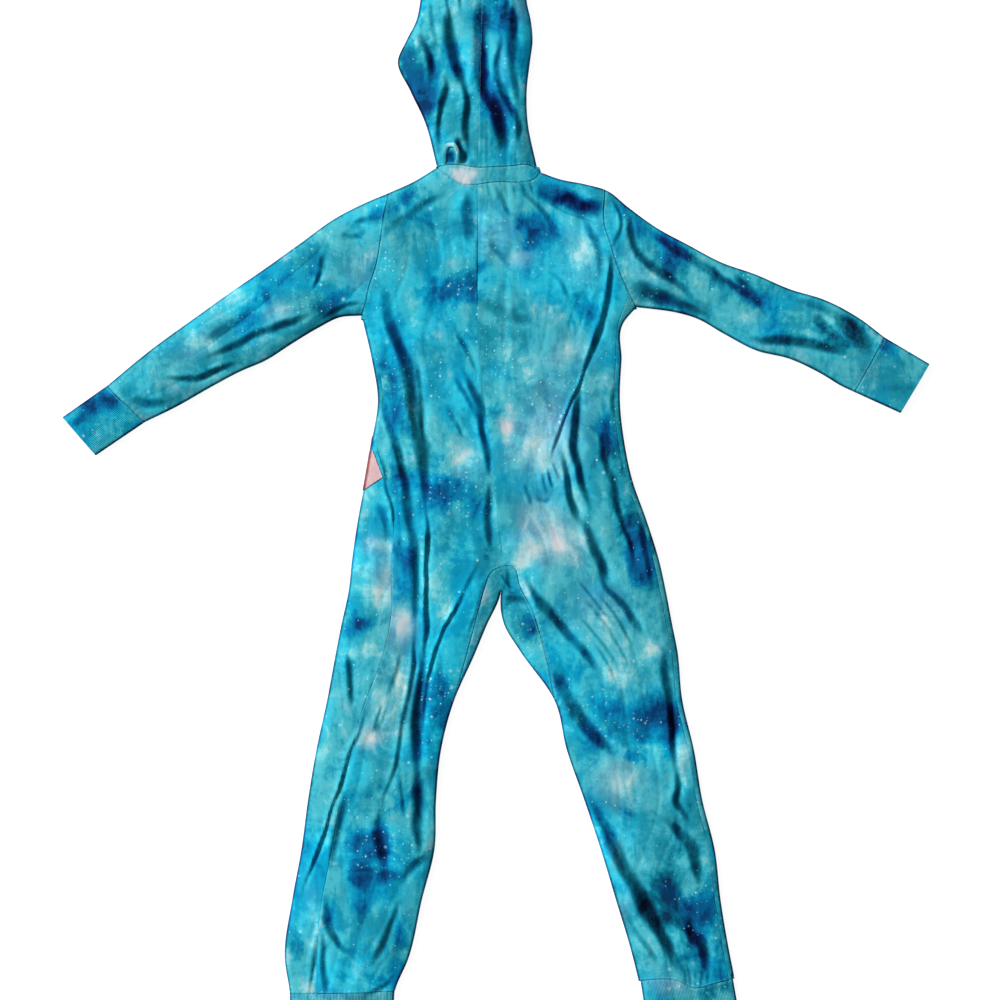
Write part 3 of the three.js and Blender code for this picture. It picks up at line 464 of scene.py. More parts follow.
class Lines:
    """Distances from plan points to a set of lines."""

    def __init__(self, lines, step=3.0):
        dense = []
        for line in lines:
            line = np.asarray(line, float)
            lengths = chords(line)
            count = max(2, math.ceil(lengths[-1] / step) + 1)
            places = np.union1d(lengths, np.linspace(0, lengths[-1], count))
            dense.append(np.column_stack([np.interp(places, lengths, line[:, k]) for k in (0, 1)]))
        self.points = np.vstack(dense)
        starts = np.cumsum([0] + [len(line) for line in dense[:-1]])
        self.first = np.zeros(len(self.points), bool)
        self.first[starts] = True
        self.last = np.roll(self.first, -1)
        self.lengths = np.concatenate([chords(line) for line in dense])
        self.tree = KDTree(len(self.points))
        for i, (x, y) in enumerate(self.points):
            self.tree.insert((x, y, 0), i)
        self.tree.balance()

    def measure(self, plan, with_nearest=False):
        """Distance to the nearest line, how far along it that is, and the nearest sample."""
        near = np.array([self.tree.find((x, y, 0))[1] for x, y in plan])
        best = np.hypot(*(plan - self.points[near]).T)
        along = self.lengths[near].copy()
        for step, ends in ((1, self.last), (-1, self.first)):
            other = np.clip(near + step, 0, len(self.points) - 1)
            run = self.points[other] - self.points[near]
            size = np.maximum((run**2).sum(1), 1e-12)
            t = np.clip(((plan - self.points[near]) * run).sum(1) / size, 0, 1)
            t[ends[near]] = 0
            distance = np.hypot(*(self.points[near] + t[:, None] * run - plan).T)
            closer = distance < best
            best = np.where(closer, distance, best)
            nearer = self.lengths[near] + t * (self.lengths[other] - self.lengths[near])
            along = np.where(closer, nearer, along)
        return (best, along, near) if with_nearest else (best, along)


FOLD_EDGES = Lines(fold_edges())

# ---------- heights ----------


def creases(x, y):
    """Height that the creases add over a raster, and how deep in a crease each point lies."""
    lift, depth = np.zeros((2, len(x), len(y)))
    for number, (width, height, lean, points) in enumerate(CREASES):
        line = smooth_line(points, 4.0)
        low, high = line.min(0) - 4 * width, line.max(0) + 4 * width
        i = slice(*np.searchsorted(x, (low[0], high[0])))
        j = slice(*np.searchsorted(y, (low[1], high[1])))
        plan = np.stack(np.meshgrid(x[i], y[j], indexing="ij"), -1)
        shape, plan = plan.shape[:2], plan.reshape(-1, 2)
        stray = lambda seed: 1.6 * value_noise(plan[:, 0] / 16, plan[:, 1] / 24, seed)
        here = plan + np.column_stack([stray(620), stray(621)])
        best = np.full(len(here), np.inf)
        side, along = np.zeros((2, len(here)))
        lengths = chords(line)
        whole = line[-1] - line[0]
        turn = np.sign(np.array([-whole[1], whole[0]]) @ AWAY_FROM_LIGHT) or 1
        for k in range(len(line) - 1):
            run = line[k + 1] - line[k]
            size = run @ run
            t = np.clip(((here - line[k]) @ run) / size, 0, 1)
            gap = here - line[k] - t[:, None] * run
            distance = np.hypot(*gap.T)
            closer = distance < best
            away = turn * np.array([-run[1], run[0]])
            best = np.where(closer, distance, best)
            side = np.where(closer, np.sign(gap @ away), side)
            along = np.where(closer, lengths[k] + t * math.sqrt(size), along)
        share = along / lengths[-1]
        taper = smoothstep(share * 3.5) * smoothstep((1 - share) * 3.5)
        uneven = 1 + CREASE_VARIES * value_noise(along / 22, along * 0 + number, 600)
        grown = width * (0.6 + 0.4 * taper) * (1 + 0.2 * value_noise(along / 30, along * 0 + number, 610))
        place = best * side / grown
        step = -place * np.exp(0.5 * (1 - place**2))
        trough = -1.2 * np.exp(-((best / (1.3 * grown)) ** 2))
        strength = taper * uneven
        lift[i, j] += (height * strength * (lean * step + (1 - abs(lean)) * trough)).reshape(shape)
        # How deep in the crease a point lies; the material darkens the colour by it, as painted shade in the
        # crease.
        shade = min(height / 3, 1.7) * strength * np.exp(-((best / (0.95 * grown)) ** 4))
        depth[i, j] += shade.reshape(shape)
    return lift, np.clip(depth, 0, 1.7)


SLEEVES = [  # middle of the armhole, direction to the wrist
    (np.array([-146.0, 256.0]), np.array([-0.856, -0.517])),
    (np.array([150.0, 262.0]), np.array([0.907, -0.421])),
]


def sleeve_share(plan):
    """How far each point belongs to each sleeve, 0 to 1."""
    shares = []
    for centre, axis in SLEEVES:
        out = (plan - centre) @ axis
        across = (plan - centre) @ np.array([-axis[1], axis[0]])
        shares.append(smoothstep(out / 50) * (1 - smoothstep((np.abs(across) - 85) / 20)))
    return shares


def ripple(along, across, seed):
    """Soft ripples that run along a direction, in mm."""
    bend = 14 * value_noise(along / 130, across / 70, seed)
    wide = fractal((across + bend) / 34, along / 120, seed + 10, 2)
    fine = value_noise((across + bend) / 13, along / 46, seed + 20)
    finest = value_noise((across + bend) / 8, along / 22, seed + 30)
    pinch = 1 - np.abs(value_noise((across + 2 * bend) / 22, along / 90, seed + 40)) * 2
    where = smoothstep(0.5 + 0.9 * value_noise(along / 90, across / 60, seed + 50))
    return 1.7 * wide + where * (0.7 * fine + 0.25 * finest) - 0.9 * np.clip(pinch, 0, 1) ** 3


def ripples(plan):
    x, y = plan.T
    spread = np.tanh(x / 60) * np.abs(y)
    total = ripple(y, x - 0.12 * spread, 100)
    slant = np.where(x > 0, 0.55, -0.35) * smoothstep(np.abs(x) / 30)
    total += 1.5 * fractal((x + slant * y) / 46, (y - slant * x) / 90, 140, 3)
    for share, (centre, axis), seed in zip(sleeve_share(plan), SLEEVES, (200, 300)):
        along = (plan - centre) @ axis
        across = (plan - centre) @ np.array([-axis[1], axis[0]])
        total = total * (1 - share) + share * ripple(along, across, seed)
    return total


class Relief:
    """Creases and ripples, worked out once on a fine raster and read between its points."""

    def __init__(self):
        low, high = RELIEF_BOX
        self.low = np.array(low)
        counts = ((np.array(high) - low) / RELIEF_STEP).astype(int) + 1
        x, y = (low[k] + RELIEF_STEP * np.arange(counts[k]) for k in range(2))
        plan = np.stack(np.meshgrid(x, y, indexing="ij"), -1).reshape(-1, 2)
        lift, depth = creases(x, y)
        self.fields = np.stack([lift + ripples(plan).reshape(counts), depth], -1)

    def at(self, plan):
        """Lift in mm, and depth in a crease, 0 to about 1.7."""
        place = (plan - self.low) / RELIEF_STEP
        cell = np.clip(place.astype(int), 0, np.array(self.fields.shape[:2]) - 2)
        (u, v), (i, j) = (place - cell).T[..., None], cell.T
        f = self.fields
        near = f[i, j] * (1 - u) + f[i + 1, j] * u
        far = f[i, j + 1] * (1 - u) + f[i + 1, j + 1] * u
        lift, depth = (near * (1 - v) + far * v).T
        return lift, depth


RELIEF = Relief()


def floor_lift(plan):
    bed = POCKET_BED
    reach_x = bed["half_x"] + bed["fall_x"] - np.abs(plan[:, 0] - bed["x"])
    reach_y = bed["half_y"] + bed["fall_y"] - np.abs(plan[:, 1] - bed["y"])
    rise = (JERSEY + 0.3) * smoothstep(reach_x / bed["fall_x"])
    return rise * smoothstep(reach_y / bed["fall_y"])


def cuff_share(plan):
    """1 at the open end of a cuff, 0 at its seam and further in."""
    share = np.zeros(len(plan))
    for a, b, c, d in CUFFS.values():
        seam, end = np.mean([a, b], 0), np.mean([c, d], 0)
        axis = end - seam
        out = ((plan - seam) @ axis) / (axis @ axis)
        close = np.hypot(*(plan - end).T) < 110
        share = np.where(close, np.maximum(share, smoothstep(out + 0.15)), share)
    return share


def heights(plan, inset, distance=None):
    """Lower and upper height at plan points for a wall drawn in by inset."""
    edge = FOLD_EDGES.measure(plan)[0] if distance is None else distance
    radius = RADIUS - inset
    inside = np.clip(edge - inset, 0, radius)
    edge = np.maximum(edge, 0)
    swell = np.sqrt(np.maximum(radius**2 - (radius - inside) ** 2, 0))
    hood = smoothstep((plan[:, 1] - HOOD_LOFT_FROM) / (HOOD_LOFT_TO - HOOD_LOFT_FROM))
    loft = (BODY_LOFT + (HOOD_LOFT - BODY_LOFT) * hood) * (1 - np.exp(-edge / LOFT_REACH))
    cuff = cuff_share(plan)
    fade = smoothstep(edge / FOLD_FADE)
    relief, depth = RELIEF.at(plan)
    relief -= INNER_ERODE * depth if inset > 0 else 0  # keeps the coarser inner side within
    lift = loft * (1 - 0.7 * cuff) + relief * fade * (1 - 0.6 * cuff)
    lift = 0.5 * (lift + np.sqrt(lift**2 + 1.0)) - 0.5 * (1 - fade)
    dents = fade * np.clip(0.9 * fractal(plan[:, 0] / 26, plan[:, 1] / 70, 400, 2) - 0.1, 0, 1)
    middle = RADIUS + floor_lift(plan)
    dents *= 1.0 - np.clip(floor_lift(plan), 0, 1)
    return middle - swell + dents, middle + swell + np.maximum(lift, 0)


# ---------- meshes ----------


def to_mesh(name, vertices, faces):
    mesh = bpy.data.meshes.new(name)
    mesh.vertices.add(len(vertices))
    mesh.vertices.foreach_set("co", (np.asarray(vertices) * MM).ravel())
    counts = np.array([len(face) for face in faces])
    mesh.loops.add(int(counts.sum()))
    mesh.loops.foreach_set("vertex_index", np.concatenate([np.asarray(f) for f in faces]))
    mesh.polygons.add(len(faces))
    mesh.polygons.foreach_set("loop_start", np.concatenate([[0], np.cumsum(counts)[:-1]]))
    mesh.update(calc_edges=True)
    mesh.validate()
    thing = bpy.data.objects.new(name, mesh)
    bpy.context.scene.collection.objects.link(thing)
    return thing


def slab(name, grid, low, high):
    """A closed solid between two heights over a grid of plan points, rows by columns."""
    rows, columns = grid.shape[:2]
    count = rows * columns
    plan = grid.reshape(-1, 2)
    vertices = np.vstack([np.column_stack([plan, high.ravel()]), np.column_stack([plan, low.ravel()])])
    upper = np.arange(count).reshape(rows, columns)
    rim = np.zeros((rows, columns), bool)
    rim[[0, -1], :] = rim[:, [0, -1]] = True
    shared = rim & (np.abs(high - low) < 1e-3)
    lower = np.where(shared, upper, upper + count)
    quads = lambda a, b, c, d: np.column_stack([a.ravel(), b.ravel(), c.ravel(), d.ravel()])
    top = quads(upper[:-1, :-1], upper[1:, :-1], upper[1:, 1:], upper[:-1, 1:])
    bottom = quads(lower[:-1, :-1], lower[:-1, 1:], lower[1:, 1:], lower[1:, :-1])
    walls = [top, bottom]
    for a, b in ((upper[:, 0], lower[:, 0]), (lower[:, -1], upper[:, -1])):
        walls.append(quads(a[:-1], b[:-1], b[1:], a[1:]))
    for a, b in ((lower[0], upper[0]), (upper[-1], lower[-1])):
        walls.append(quads(a[:-1], b[:-1], b[1:], a[1:]))
    quads = np.vstack(walls)
    triangles = np.vstack([quads[:, [0, 1, 2]], quads[:, [0, 2, 3]]])
    whole = (triangles[:, 0] != triangles[:, 1]) & (triangles[:, 1] != triangles[:, 2])
    triangles = triangles[whole & (triangles[:, 2] != triangles[:, 0])]
    _, first, times = np.unique(np.sort(triangles, 1), axis=0, return_index=True, return_counts=True)
    triangles = triangles[first[times == 1]]
    used, renumbered = np.unique(triangles, return_inverse=True)
    triangles = renumbered.reshape(-1, 3)
    vertices = vertices[used]
    a, b, c = (vertices[triangles[:, k]] for k in range(3))
    if np.einsum("ij,ij->i", a, np.cross(b, c)).sum() < 0:
        triangles = triangles[:, ::-1]
    return to_mesh(name, vertices, triangles)


def boolean(a, b, operation, name):
    """A new object from two, both of which stay."""
    modifier = a.modifiers.new("cut", "BOOLEAN")
    modifier.operation = operation
    modifier.solver = "MANIFOLD"
    modifier.object = b
    graph = bpy.context.evaluated_depsgraph_get()
    graph.update()
    mesh = bpy.data.meshes.new_from_object(a.evaluated_get(graph))
    a.modifiers.remove(modifier)
    thing = bpy.data.objects.new(name, mesh)
    bpy.context.scene.collection.objects.link(thing)
    return thing


def discard(*things):
    for thing in things:
        mesh = thing.data
        bpy.data.objects.remove(thing)
        bpy.data.meshes.remove(mesh)


# ---------- tubes ----------


def ring_grid(starts, ends, inset, step, widest):
    """Plan grid through rings from starts to ends, each an array of plan points."""
    radius = RADIUS - inset
    edge = EDGE_STEPS * radius
    count = max(3, math.ceil((widest - 2 * radius) / step))
    middle = np.linspace(0, 1, count + 1)[1:-1]
    run = ends - starts
    widths = np.hypot(*run.T)
    share = np.minimum(edge[None] / widths[:, None], 0.45)
    inner = share[:, -1:] + (1 - 2 * share[:, -1:]) * middle[None]
    places = np.hstack([share, inner, 1 - share[:, ::-1]])
    return starts[:, None] + places[..., None] * run[:, None]


def pulled(starts, ends, first, last):
    """Ring ends moved inwards along each ring by the given distances."""
    run = ends - starts
    unit = run / np.hypot(*run.T)[:, None]
    return starts + unit * np.asarray(first)[:, None], ends - unit * np.asarray(last)[:, None]


def tube(starts, ends, inset, folded, step, widest):
    """Plan grid through rings, and its distances from the folded edges. folded tells, for each
    ring, whether its two ends are folded."""
    slopes = []
    for line, other in ((starts, ends), (ends, starts)):
        run = np.gradient(line, axis=0)
        run /= np.maximum(np.hypot(*run.T), 1e-9)[:, None]
        ring = (other - line) / np.hypot(*(other - line).T)[:, None]
        across = np.abs(run[:, 0] * ring[:, 1] - run[:, 1] * ring[:, 0])
        slopes.append(1 / np.clip(across, 0.3, 1))
    over = OVERRUN if inset > 0 else 0.0
    first = np.where(folded[:, 0], inset * slopes[0], -over)
    last = np.where(folded[:, 1], inset * slopes[1], -over)
    starts, ends = pulled(starts, ends, first, last)
    grid = ring_grid(starts, ends, inset, step, widest)
    distance = FOLD_EDGES.measure(grid.reshape(-1, 2))[0].reshape(grid.shape[:2])
    distance[:, 0] = np.where(folded[:, 0], inset, distance[:, 0])
    distance[:, -1] = np.where(folded[:, 1], inset, distance[:, -1])
    if inset < 0:  # a layer outside the body, whose rim lies beyond the folded edge
        distance[:, : len(EDGE_STEPS)] = inset + EDGE_STEPS * (RADIUS - inset)
    return grid, distance


def solid(name, grid, distance, inset):
    low, high = heights(grid.reshape(-1, 2), inset, distance.ravel())
    return slab(name, grid, low.reshape(distance.shape), high.reshape(distance.shape))


def body_grid(side, inset, step):
    left = side == "left"
    rows = LEFT_ROWS if left else RIGHT_ROWS
    inseam = LEFT_INSEAM if left else RIGHT_INSEAM
    end_x, yoke_y = LEFT_YOKE if left else RIGHT_YOKE
    widest = WIDEST[side]
    over = OVERRUN if inset > 0 else 0.0
    lowest = BODY_LOWEST[side] - over
    y = np.concatenate([
        NECK_OVERRUN - NECK_STEPS,
        np.arange(NECK_OVERRUN - NECK_STEPS[-1] - step, ARMPIT_ROW + 1, -step),
        np.arange(ARMPIT_ROW, CROTCH_Y, -step),
        [CROTCH_Y],
        np.arange(CROTCH_Y - CROTCH_STEP, lowest, -step),
        [lowest],
    ])
    body_y = y[y <= rows[0][0]]
    outer = table_at(rows, body_y)
    is_leg = body_y < CROTCH_Y
    inner = np.where(is_leg, table_at(inseam, body_y), table_at(CENTRE_ROWS, body_y))
    outer_line, inner_line = (np.column_stack([x, body_y]) for x in (outer, inner))
    always = np.ones(len(is_leg), bool)
    if left:
        starts, ends, folded = outer_line, inner_line, np.column_stack([always, is_leg])
    else:
        starts, ends, folded = inner_line, outer_line, np.column_stack([is_leg, always])
    grid, distance = tube(starts, ends, inset, folded, step, widest)

    yoke_rows = y[y > yoke_y]
    centre = CENTRE_ROWS[0, 1]
    a, b = (end_x, centre + over) if left else (centre - over, end_x)
    columns = ring_grid(np.array([[a, 0.0]]), np.array([[b, 0.0]]), inset, step, widest)[0, :, 0]
    top = shoulder_profile(columns, inset)
    rise = (yoke_rows - yoke_y) / (NECK_OVERRUN - yoke_y)
    yoke = np.stack([
        np.broadcast_to(columns, (len(rise), len(columns))),
        yoke_y + (top - yoke_y)[None] * rise[:, None],
    ], -1)
    yoke_distance = FOLD_EDGES.measure(yoke.reshape(-1, 2))[0].reshape(yoke.shape[:2])
    is_shoulder = (columns < NECK_LEFT[0]) | (columns > NECK_RIGHT[0])
    yoke_distance[0] = np.where(is_shoulder, inset, yoke_distance[0])
    between = np.linspace(0, 1, YOKE_BLEND)[1:-1, None, None]
    blend = yoke[-1] + between * (grid[0] - yoke[-1])
    blend_distance = FOLD_EDGES.measure(blend.reshape(-1, 2))[0].reshape(blend.shape[:2])
    outer_end = 0 if left else -1
    blend_distance[:, outer_end] = distance[0, outer_end]
    return (
        np.concatenate([yoke, blend, grid]),
        np.concatenate([yoke_distance, blend_distance, distance]),
    )


def shoulder_profile(x, inset):
    left, right = smooth_line(LEFT_TOP[:5])[::-1], smooth_line(RIGHT_TOP[:6])
    line = np.vstack([left, [(-62, NECK_OVERRUN), (40, NECK_OVERRUN)], right])
    y = np.interp(x, line[:, 0], line[:, 1])
    slope = np.gradient(y, x)
    is_shoulder = (x < NECK_LEFT[0]) | (x > NECK_RIGHT[0])
    back = np.minimum(np.sqrt(1 + slope**2), 1.6) * inset
    return y - np.where(is_shoulder, back, -OVERRUN if inset > 0 else 0.0)


def sleeve_lines(side, step):
    left = side == "left"
    tops, lows = (LEFT_TOP, LEFT_LOW) if left else (RIGHT_TOP, RIGHT_LOW)
    shoulder = len(tops) - len(lows)
    length = chords(np.asarray(tops[shoulder:], float))[-1]
    places = np.linspace(0, len(lows) - 1, math.ceil(length / step) + 1)
    top = along_rings(tops, places + shoulder)
    low = along_rings(lows, places)
    start = np.asarray(LEFT_SLEEVE_START if left else RIGHT_SLEEVE_START, float)
    lead = np.linspace(0, 1, math.ceil(SLEEVE_LEAD / step) + 1)[:-1, None]
    top = np.vstack([start[0] + lead * (top[0] - start[0]), top])
    low = np.vstack([start[1] + lead * (low[0] - start[1]), low])
    corners = np.asarray(CUFFS[f"wrist_cuff_{side}"], float)
    further = np.arange(step, SLEEVE_PAST_WRIST, step)[:, None]
    top_way = (corners[2] - corners[0]) / np.linalg.norm(corners[2] - corners[0])
    low_way = (corners[3] - corners[1]) / np.linalg.norm(corners[3] - corners[1])
    return (
        np.vstack([top, top[-1] + further * top_way]),
        np.vstack([low, low[-1] + further * low_way]),
    )


def extended(top, low, over):
    """Rings with both ends of the run moved out by over."""
    top, low = top.copy(), low.copy()
    for line in (top, low):
        line[0] = beyond(line[1], line[0], over)
        line[-1] = beyond(line[-2], line[-1], over)
    return top, low


def sleeve_grid(side, inset, step):
    top, low = sleeve_lines(side, step)
    if inset > 0:
        top, low = extended(top, low, OVERRUN)
    return tube(top, low, inset, np.ones((len(top), 2), bool), step, WIDEST["sleeve"])


def cuff_grid(name, inset, step):
    a, b, c, d = (np.asarray(p, float) for p in CUFFS[name])
    places = np.linspace(-0.15, 1, math.ceil(1.15 * np.linalg.norm(c - a) / step) + 1)[:, None]
    top, low = a + places * (c - a), b + places * (d - b)
    if inset > 0:
        top, low = extended(top, low, OVERRUN)
    widest = WIDEST["ankle" if "ankle" in name else "wrist"]
    return tube(top, low, inset, np.ones((len(top), 2), bool), step, widest)


def hood_grid(inset, step):
    over = OVERRUN if inset > 0 else 0.0
    crown = HOOD_TOP - inset - (RADIUS - inset) * EDGE_STEPS
    y = np.concatenate([
        [HOOD_LOWEST - over],
        np.arange(HOOD_LOWEST + 2, HOOD_FOLDED_FROM - 0.6, step),
        np.arange(HOOD_FOLDED_FROM, crown[-1] - 0.6, step),
        crown[::-1],
    ])
    starts, ends = (np.column_stack([hood_side(y, column), y]) for column in (1, 2))
    folded = np.repeat((y >= HOOD_FOLDED_FROM)[:, None], 2, 1)
    grid, distance = tube(starts, ends, inset, folded, step, WIDEST["hood"])
    distance[-1] = inset
    return grid, distance


def pocket_grid(inset, step):
    """The layer round the left side of the body that the pocket is cut from."""
    grid, distance = body_grid("left", inset, step)
    inner = step != STEP
    reach = POCKET_REACH_Y + (4 if inner else 0)
    rows = np.abs(grid[:, 0, 1] - POCKET_BED["y"]) < reach
    columns = np.arange(POCKET_COLUMNS + (2 if inner else 0))
    return grid[rows][:, columns], distance[rows][:, columns]


def pocket_shell():
    outer = solid("pocket_outer", *pocket_grid(-POCKET_GAP - JERSEY, STEP), -POCKET_GAP - JERSEY)
    inner = solid("pocket_inner", *pocket_grid(-POCKET_GAP, STEP - 1e-6), -POCKET_GAP)
    shell = boolean(outer, inner, "DIFFERENCE", "pocket")
    discard(outer, inner)
    return shell


def hang_loop():
    """A narrow strap, sewn down at both ends, that lies in an arch on the hood."""
    line = smooth_line(LOOP_PATH, 1.2)
    run = np.gradient(line, axis=0)
    across = np.column_stack([-run[:, 1], run[:, 0]]) / np.hypot(*run.T)[:, None]
    places = np.linspace(-0.5, 0.5, 7)
    crown = np.sqrt(np.clip(1 - (2 * places) ** 2, 0, 1))
    plan = line[:, None] + across[:, None] * (LOOP_WIDTH * places)[None, :, None]
    bed = heights(plan.reshape(-1, 2), 0.0)[1].reshape(plan.shape[:2]).max(1)
    share = np.linspace(0, 1, len(line))
    rise = 0.15 + 2.0 * np.sin(math.pi * share) ** 0.5
    low = (bed + rise)[:, None] + 0.25 * (1 - crown)[None]
    high = low + 0.3 + 0.8 * crown[None]
    return slab("hang_loop_cloth", plan, low, high)


def make_shell(name, grid_of, wall):
    outer = solid(name + "_outer", *grid_of(0.0, STEP), 0.0)
    inner = solid(name + "_inner", *grid_of(wall, INNER_STEP), wall)
    shell = boolean(outer, inner, "DIFFERENCE", name)
    discard(outer, inner)
    return shell


# ---------- outlines of the pieces ----------


def drawn_in(outline, by):
    """A closed outline with each side moved inwards."""
    points = np.asarray(outline, float)
    keep = np.hypot(*(points - np.roll(points, 1, 0)).T) > 1e-6
    points = points[keep]
    ahead = np.roll(points, -1, 0)
    area = (points[:, 0] * ahead[:, 1] - ahead[:, 0] * points[:, 1]).sum()
    if area < 0:
        points = points[::-1]
    before, after = points - np.roll(points, 1, 0), np.roll(points, -1, 0) - points
    normals = [
        np.column_stack([-run[:, 1], run[:, 0]]) / np.hypot(*run.T)[:, None]
        for run in (before, after)
    ]
    total = normals[0] + normals[1]
    scale = 2 * by / np.maximum((total**2).sum(1), 0.6)
    return points + total * scale[:, None]


def prism(outline, low=-TALL, high=TALL):
    plan = drawn_in(outline, SEAM_GAP / 2)
    count = len(plan)
    vertices = np.vstack([
        np.column_stack([plan, np.full(count, low)]), np.column_stack([plan, np.full(count, high)])
    ])
    ring = np.arange(count)
    ahead = np.roll(ring, -1)
    faces = [list(ring[::-1]), list(ring + count)]
    faces += np.column_stack([ring, ahead, ahead + count, ring + count]).tolist()
    return to_mesh("prism", vertices, faces)


def above(outline):
    return prism(outline, RADIUS + SEAM_GAP / 2)


def below(outline):
    return prism(outline, -TALL, RADIUS - SEAM_GAP / 2)


def joined(a, b):
    both = boolean(a, b, "UNION", "prism")
    discard(a, b)
    return both


def over_under(upper, lower):
    return joined(prism(upper, RADIUS), prism(lower, -TALL, RADIUS))


def chain(*lines):
    """Points or lines, one after another, as one list."""
    out = []
    for line in lines:
        line = np.asarray(line, float)
        out.append(line[None] if line.ndim == 1 else line)
    return np.vstack(out)


L = smooth_line
back = lambda line: np.asarray(line)[::-1]
OUTSIDE_LEFT, OUTSIDE_RIGHT = (-98, 354), (84, 350)
BESIDE_NECK_RIGHT = (50, 368)

SEAMS = {
    "neck": chain(L(BACK_NECK_LEFT), L(BACK_NECK_RIGHT)[1:]),
    "hood_seam": chain(L(HOOD_SEAM_LEFT), L(HOOD_SEAM_RIGHT)[1:]),
    "centre_back": L(CENTRE_BACK),
    "hood_centre": L(HOOD_CENTRE),
    "left_armhole": chain(L(LEFT_ARMHOLE_UP), L(LEFT_ARMHOLE_LOW)[1:]),
    "right_armhole": chain(L(RIGHT_ARMHOLE_UP), L(RIGHT_ARMHOLE_LOW)[1:]),
    "left_side": L(LEFT_SIDE),
    "right_side": L(RIGHT_SIDE),
    "gusset_left": L(GUSSET_LEFT),
    "gusset_right": L(GUSSET_RIGHT),
    "left_ankle": L(LEFT_ANKLE),
    "right_ankle": L(RIGHT_ANKLE),
    "left_wrist": L(LEFT_WRIST),
    "right_wrist": L(RIGHT_WRIST),
}

SEAM_DEPTHS = {"centre_back": 0.15, "hood_centre": 0.15, "left_side": 0.4, "right_side": 0.3}


def face_edge(side):
    t = np.linspace(0, 1, 60)[:, None]
    line = np.asarray(FACE_FROM) + t * (np.asarray(FACE_TO, float) - np.asarray(FACE_FROM))
    line[:, 0] += side * FACE_HALF * np.sin(math.pi * t[:, 0])
    return line


OUTLINES = {
    "back_left": chain(
        L(BACK_NECK_LEFT), SEAMS["centre_back"][1:], SEAMS["gusset_left"][1:], GUSSET_LEFT_END,
        LEFT_ANKLE[0], back(SEAMS["left_side"]), back(L(LEFT_ARMHOLE_UP))[1:], OUTSIDE_LEFT,
    ),
    "back_right": chain(
        L(BACK_NECK_RIGHT), OUTSIDE_RIGHT, L(RIGHT_ARMHOLE_UP), SEAMS["right_side"][1:],
        back(L(RIGHT_ANKLE[:5]))[1:], GUSSET_RIGHT_END, back(SEAMS["gusset_right"]),
        back(SEAMS["centre_back"])[1:-1],
    ),
    "left_wrap": chain(SEAMS["left_side"], LEFT_ANKLE[2], (-300, 172), back(L(LEFT_ARMHOLE_LOW))),
    "front_left": chain(
        L(FRONT_NECK_LEFT), PLACKET[3], CENTRE_FRONT, SEAMS["gusset_left"][1:], GUSSET_LEFT_END,
        LEFT_ANKLE, (-300, 172), back(SEAMS["left_armhole"]), OUTSIDE_LEFT,
    ),
    "right_wrap": chain(SEAMS["right_side"], RIGHT_ANKLE[5], (330, 180), back(L(RIGHT_ARMHOLE_LOW))),
    "front_right": chain(
        L(FRONT_NECK_RIGHT), OUTSIDE_RIGHT, SEAMS["right_armhole"], (330, 180),
        back(SEAMS["right_ankle"]), GUSSET_RIGHT_END, back(SEAMS["gusset_right"]),
        CENTRE_FRONT[0], PLACKET[2],
    ),
    "gusset": chain(
        SEAMS["gusset_left"], GUSSET_LEFT_END, GUSSET_RIGHT_END, back(SEAMS["gusset_right"])[:-1]
    ),
    "left_sleeve": chain(
        SEAMS["left_armhole"], (-167, 20), back(SEAMS["left_wrist"]), (-480, 400), (-129, 400)
    ),
    "right_sleeve": chain(
        SEAMS["right_armhole"], (174, 20), back(SEAMS["right_wrist"]), (480, 400), (133, 400)
    ),
    "wrist_cuff_left": chain(SEAMS["left_wrist"], (-440, -80), (-620, -80), (-620, 119)),
    "wrist_cuff_right": chain(SEAMS["right_wrist"], (440, -40), (620, -40), (620, 186)),
    "ankle_cuff_left": chain(SEAMS["left_ankle"], (-300, -760), (-100, -760)),
    "ankle_cuff_right": chain(SEAMS["right_ankle"], (330, -760), (150, -760)),
    "hood_upper_left": chain(L(HOOD_SEAM_LEFT), SEAMS["hood_centre"][1:], (-200, 700), (-200, 366)),
    "hood_upper_right": chain(
        L(HOOD_SEAM_RIGHT), BESIDE_NECK_RIGHT, (200, 368), (200, 700), back(SEAMS["hood_centre"])[:-1]
    ),
    "hood_lower_left": chain(
        L(FRONT_NECK_LEFT), face_edge(-1), HOOD_CENTRE[-1], (-200, 700), (-200, 366)
    ),
    "hood_lower_right": chain(
        face_edge(1), HOOD_CENTRE[-1], (200, 700), (200, 368), BESIDE_NECK_RIGHT,
        back(L(FRONT_NECK_RIGHT)),
    ),
    "neck_band": chain(SEAMS["neck"], back(SEAMS["hood_seam"])[1:-1]),
}

# ---------- pieces ----------


def cut(name, shell, cutter):
    piece = boolean(shell, cutter, "INTERSECT", name)
    discard(cutter)
    return keep_largest(piece)


def keep_largest(piece):
    """Drops the crumbs that a cut may leave at a corner."""
    mesh = piece.data
    count = len(mesh.vertices)
    edges = np.zeros(len(mesh.edges) * 2, np.int64)
    mesh.edges.foreach_get("vertices", edges)
    edges = edges.reshape(-1, 2)
    label = np.arange(count)
    while True:
        low = np.minimum(label[edges[:, 0]], label[edges[:, 1]])
        new = label.copy()
        np.minimum.at(new, edges[:, 0], low)
        np.minimum.at(new, edges[:, 1], low)
        new = new[new]
        if (new == label).all():
            break
        label = new
    values, counts = np.unique(label, return_counts=True)
    if len(values) > 1:
        keep = values[counts.argmax()]
        bm = bmesh.new()
        bm.from_mesh(mesh)
        bm.verts.ensure_lookup_table()
        bmesh.ops.delete(bm, geom=[bm.verts[i] for i in np.where(label != keep)[0]], context="VERTS")
        bm.to_mesh(mesh)
        bm.free()
    return piece


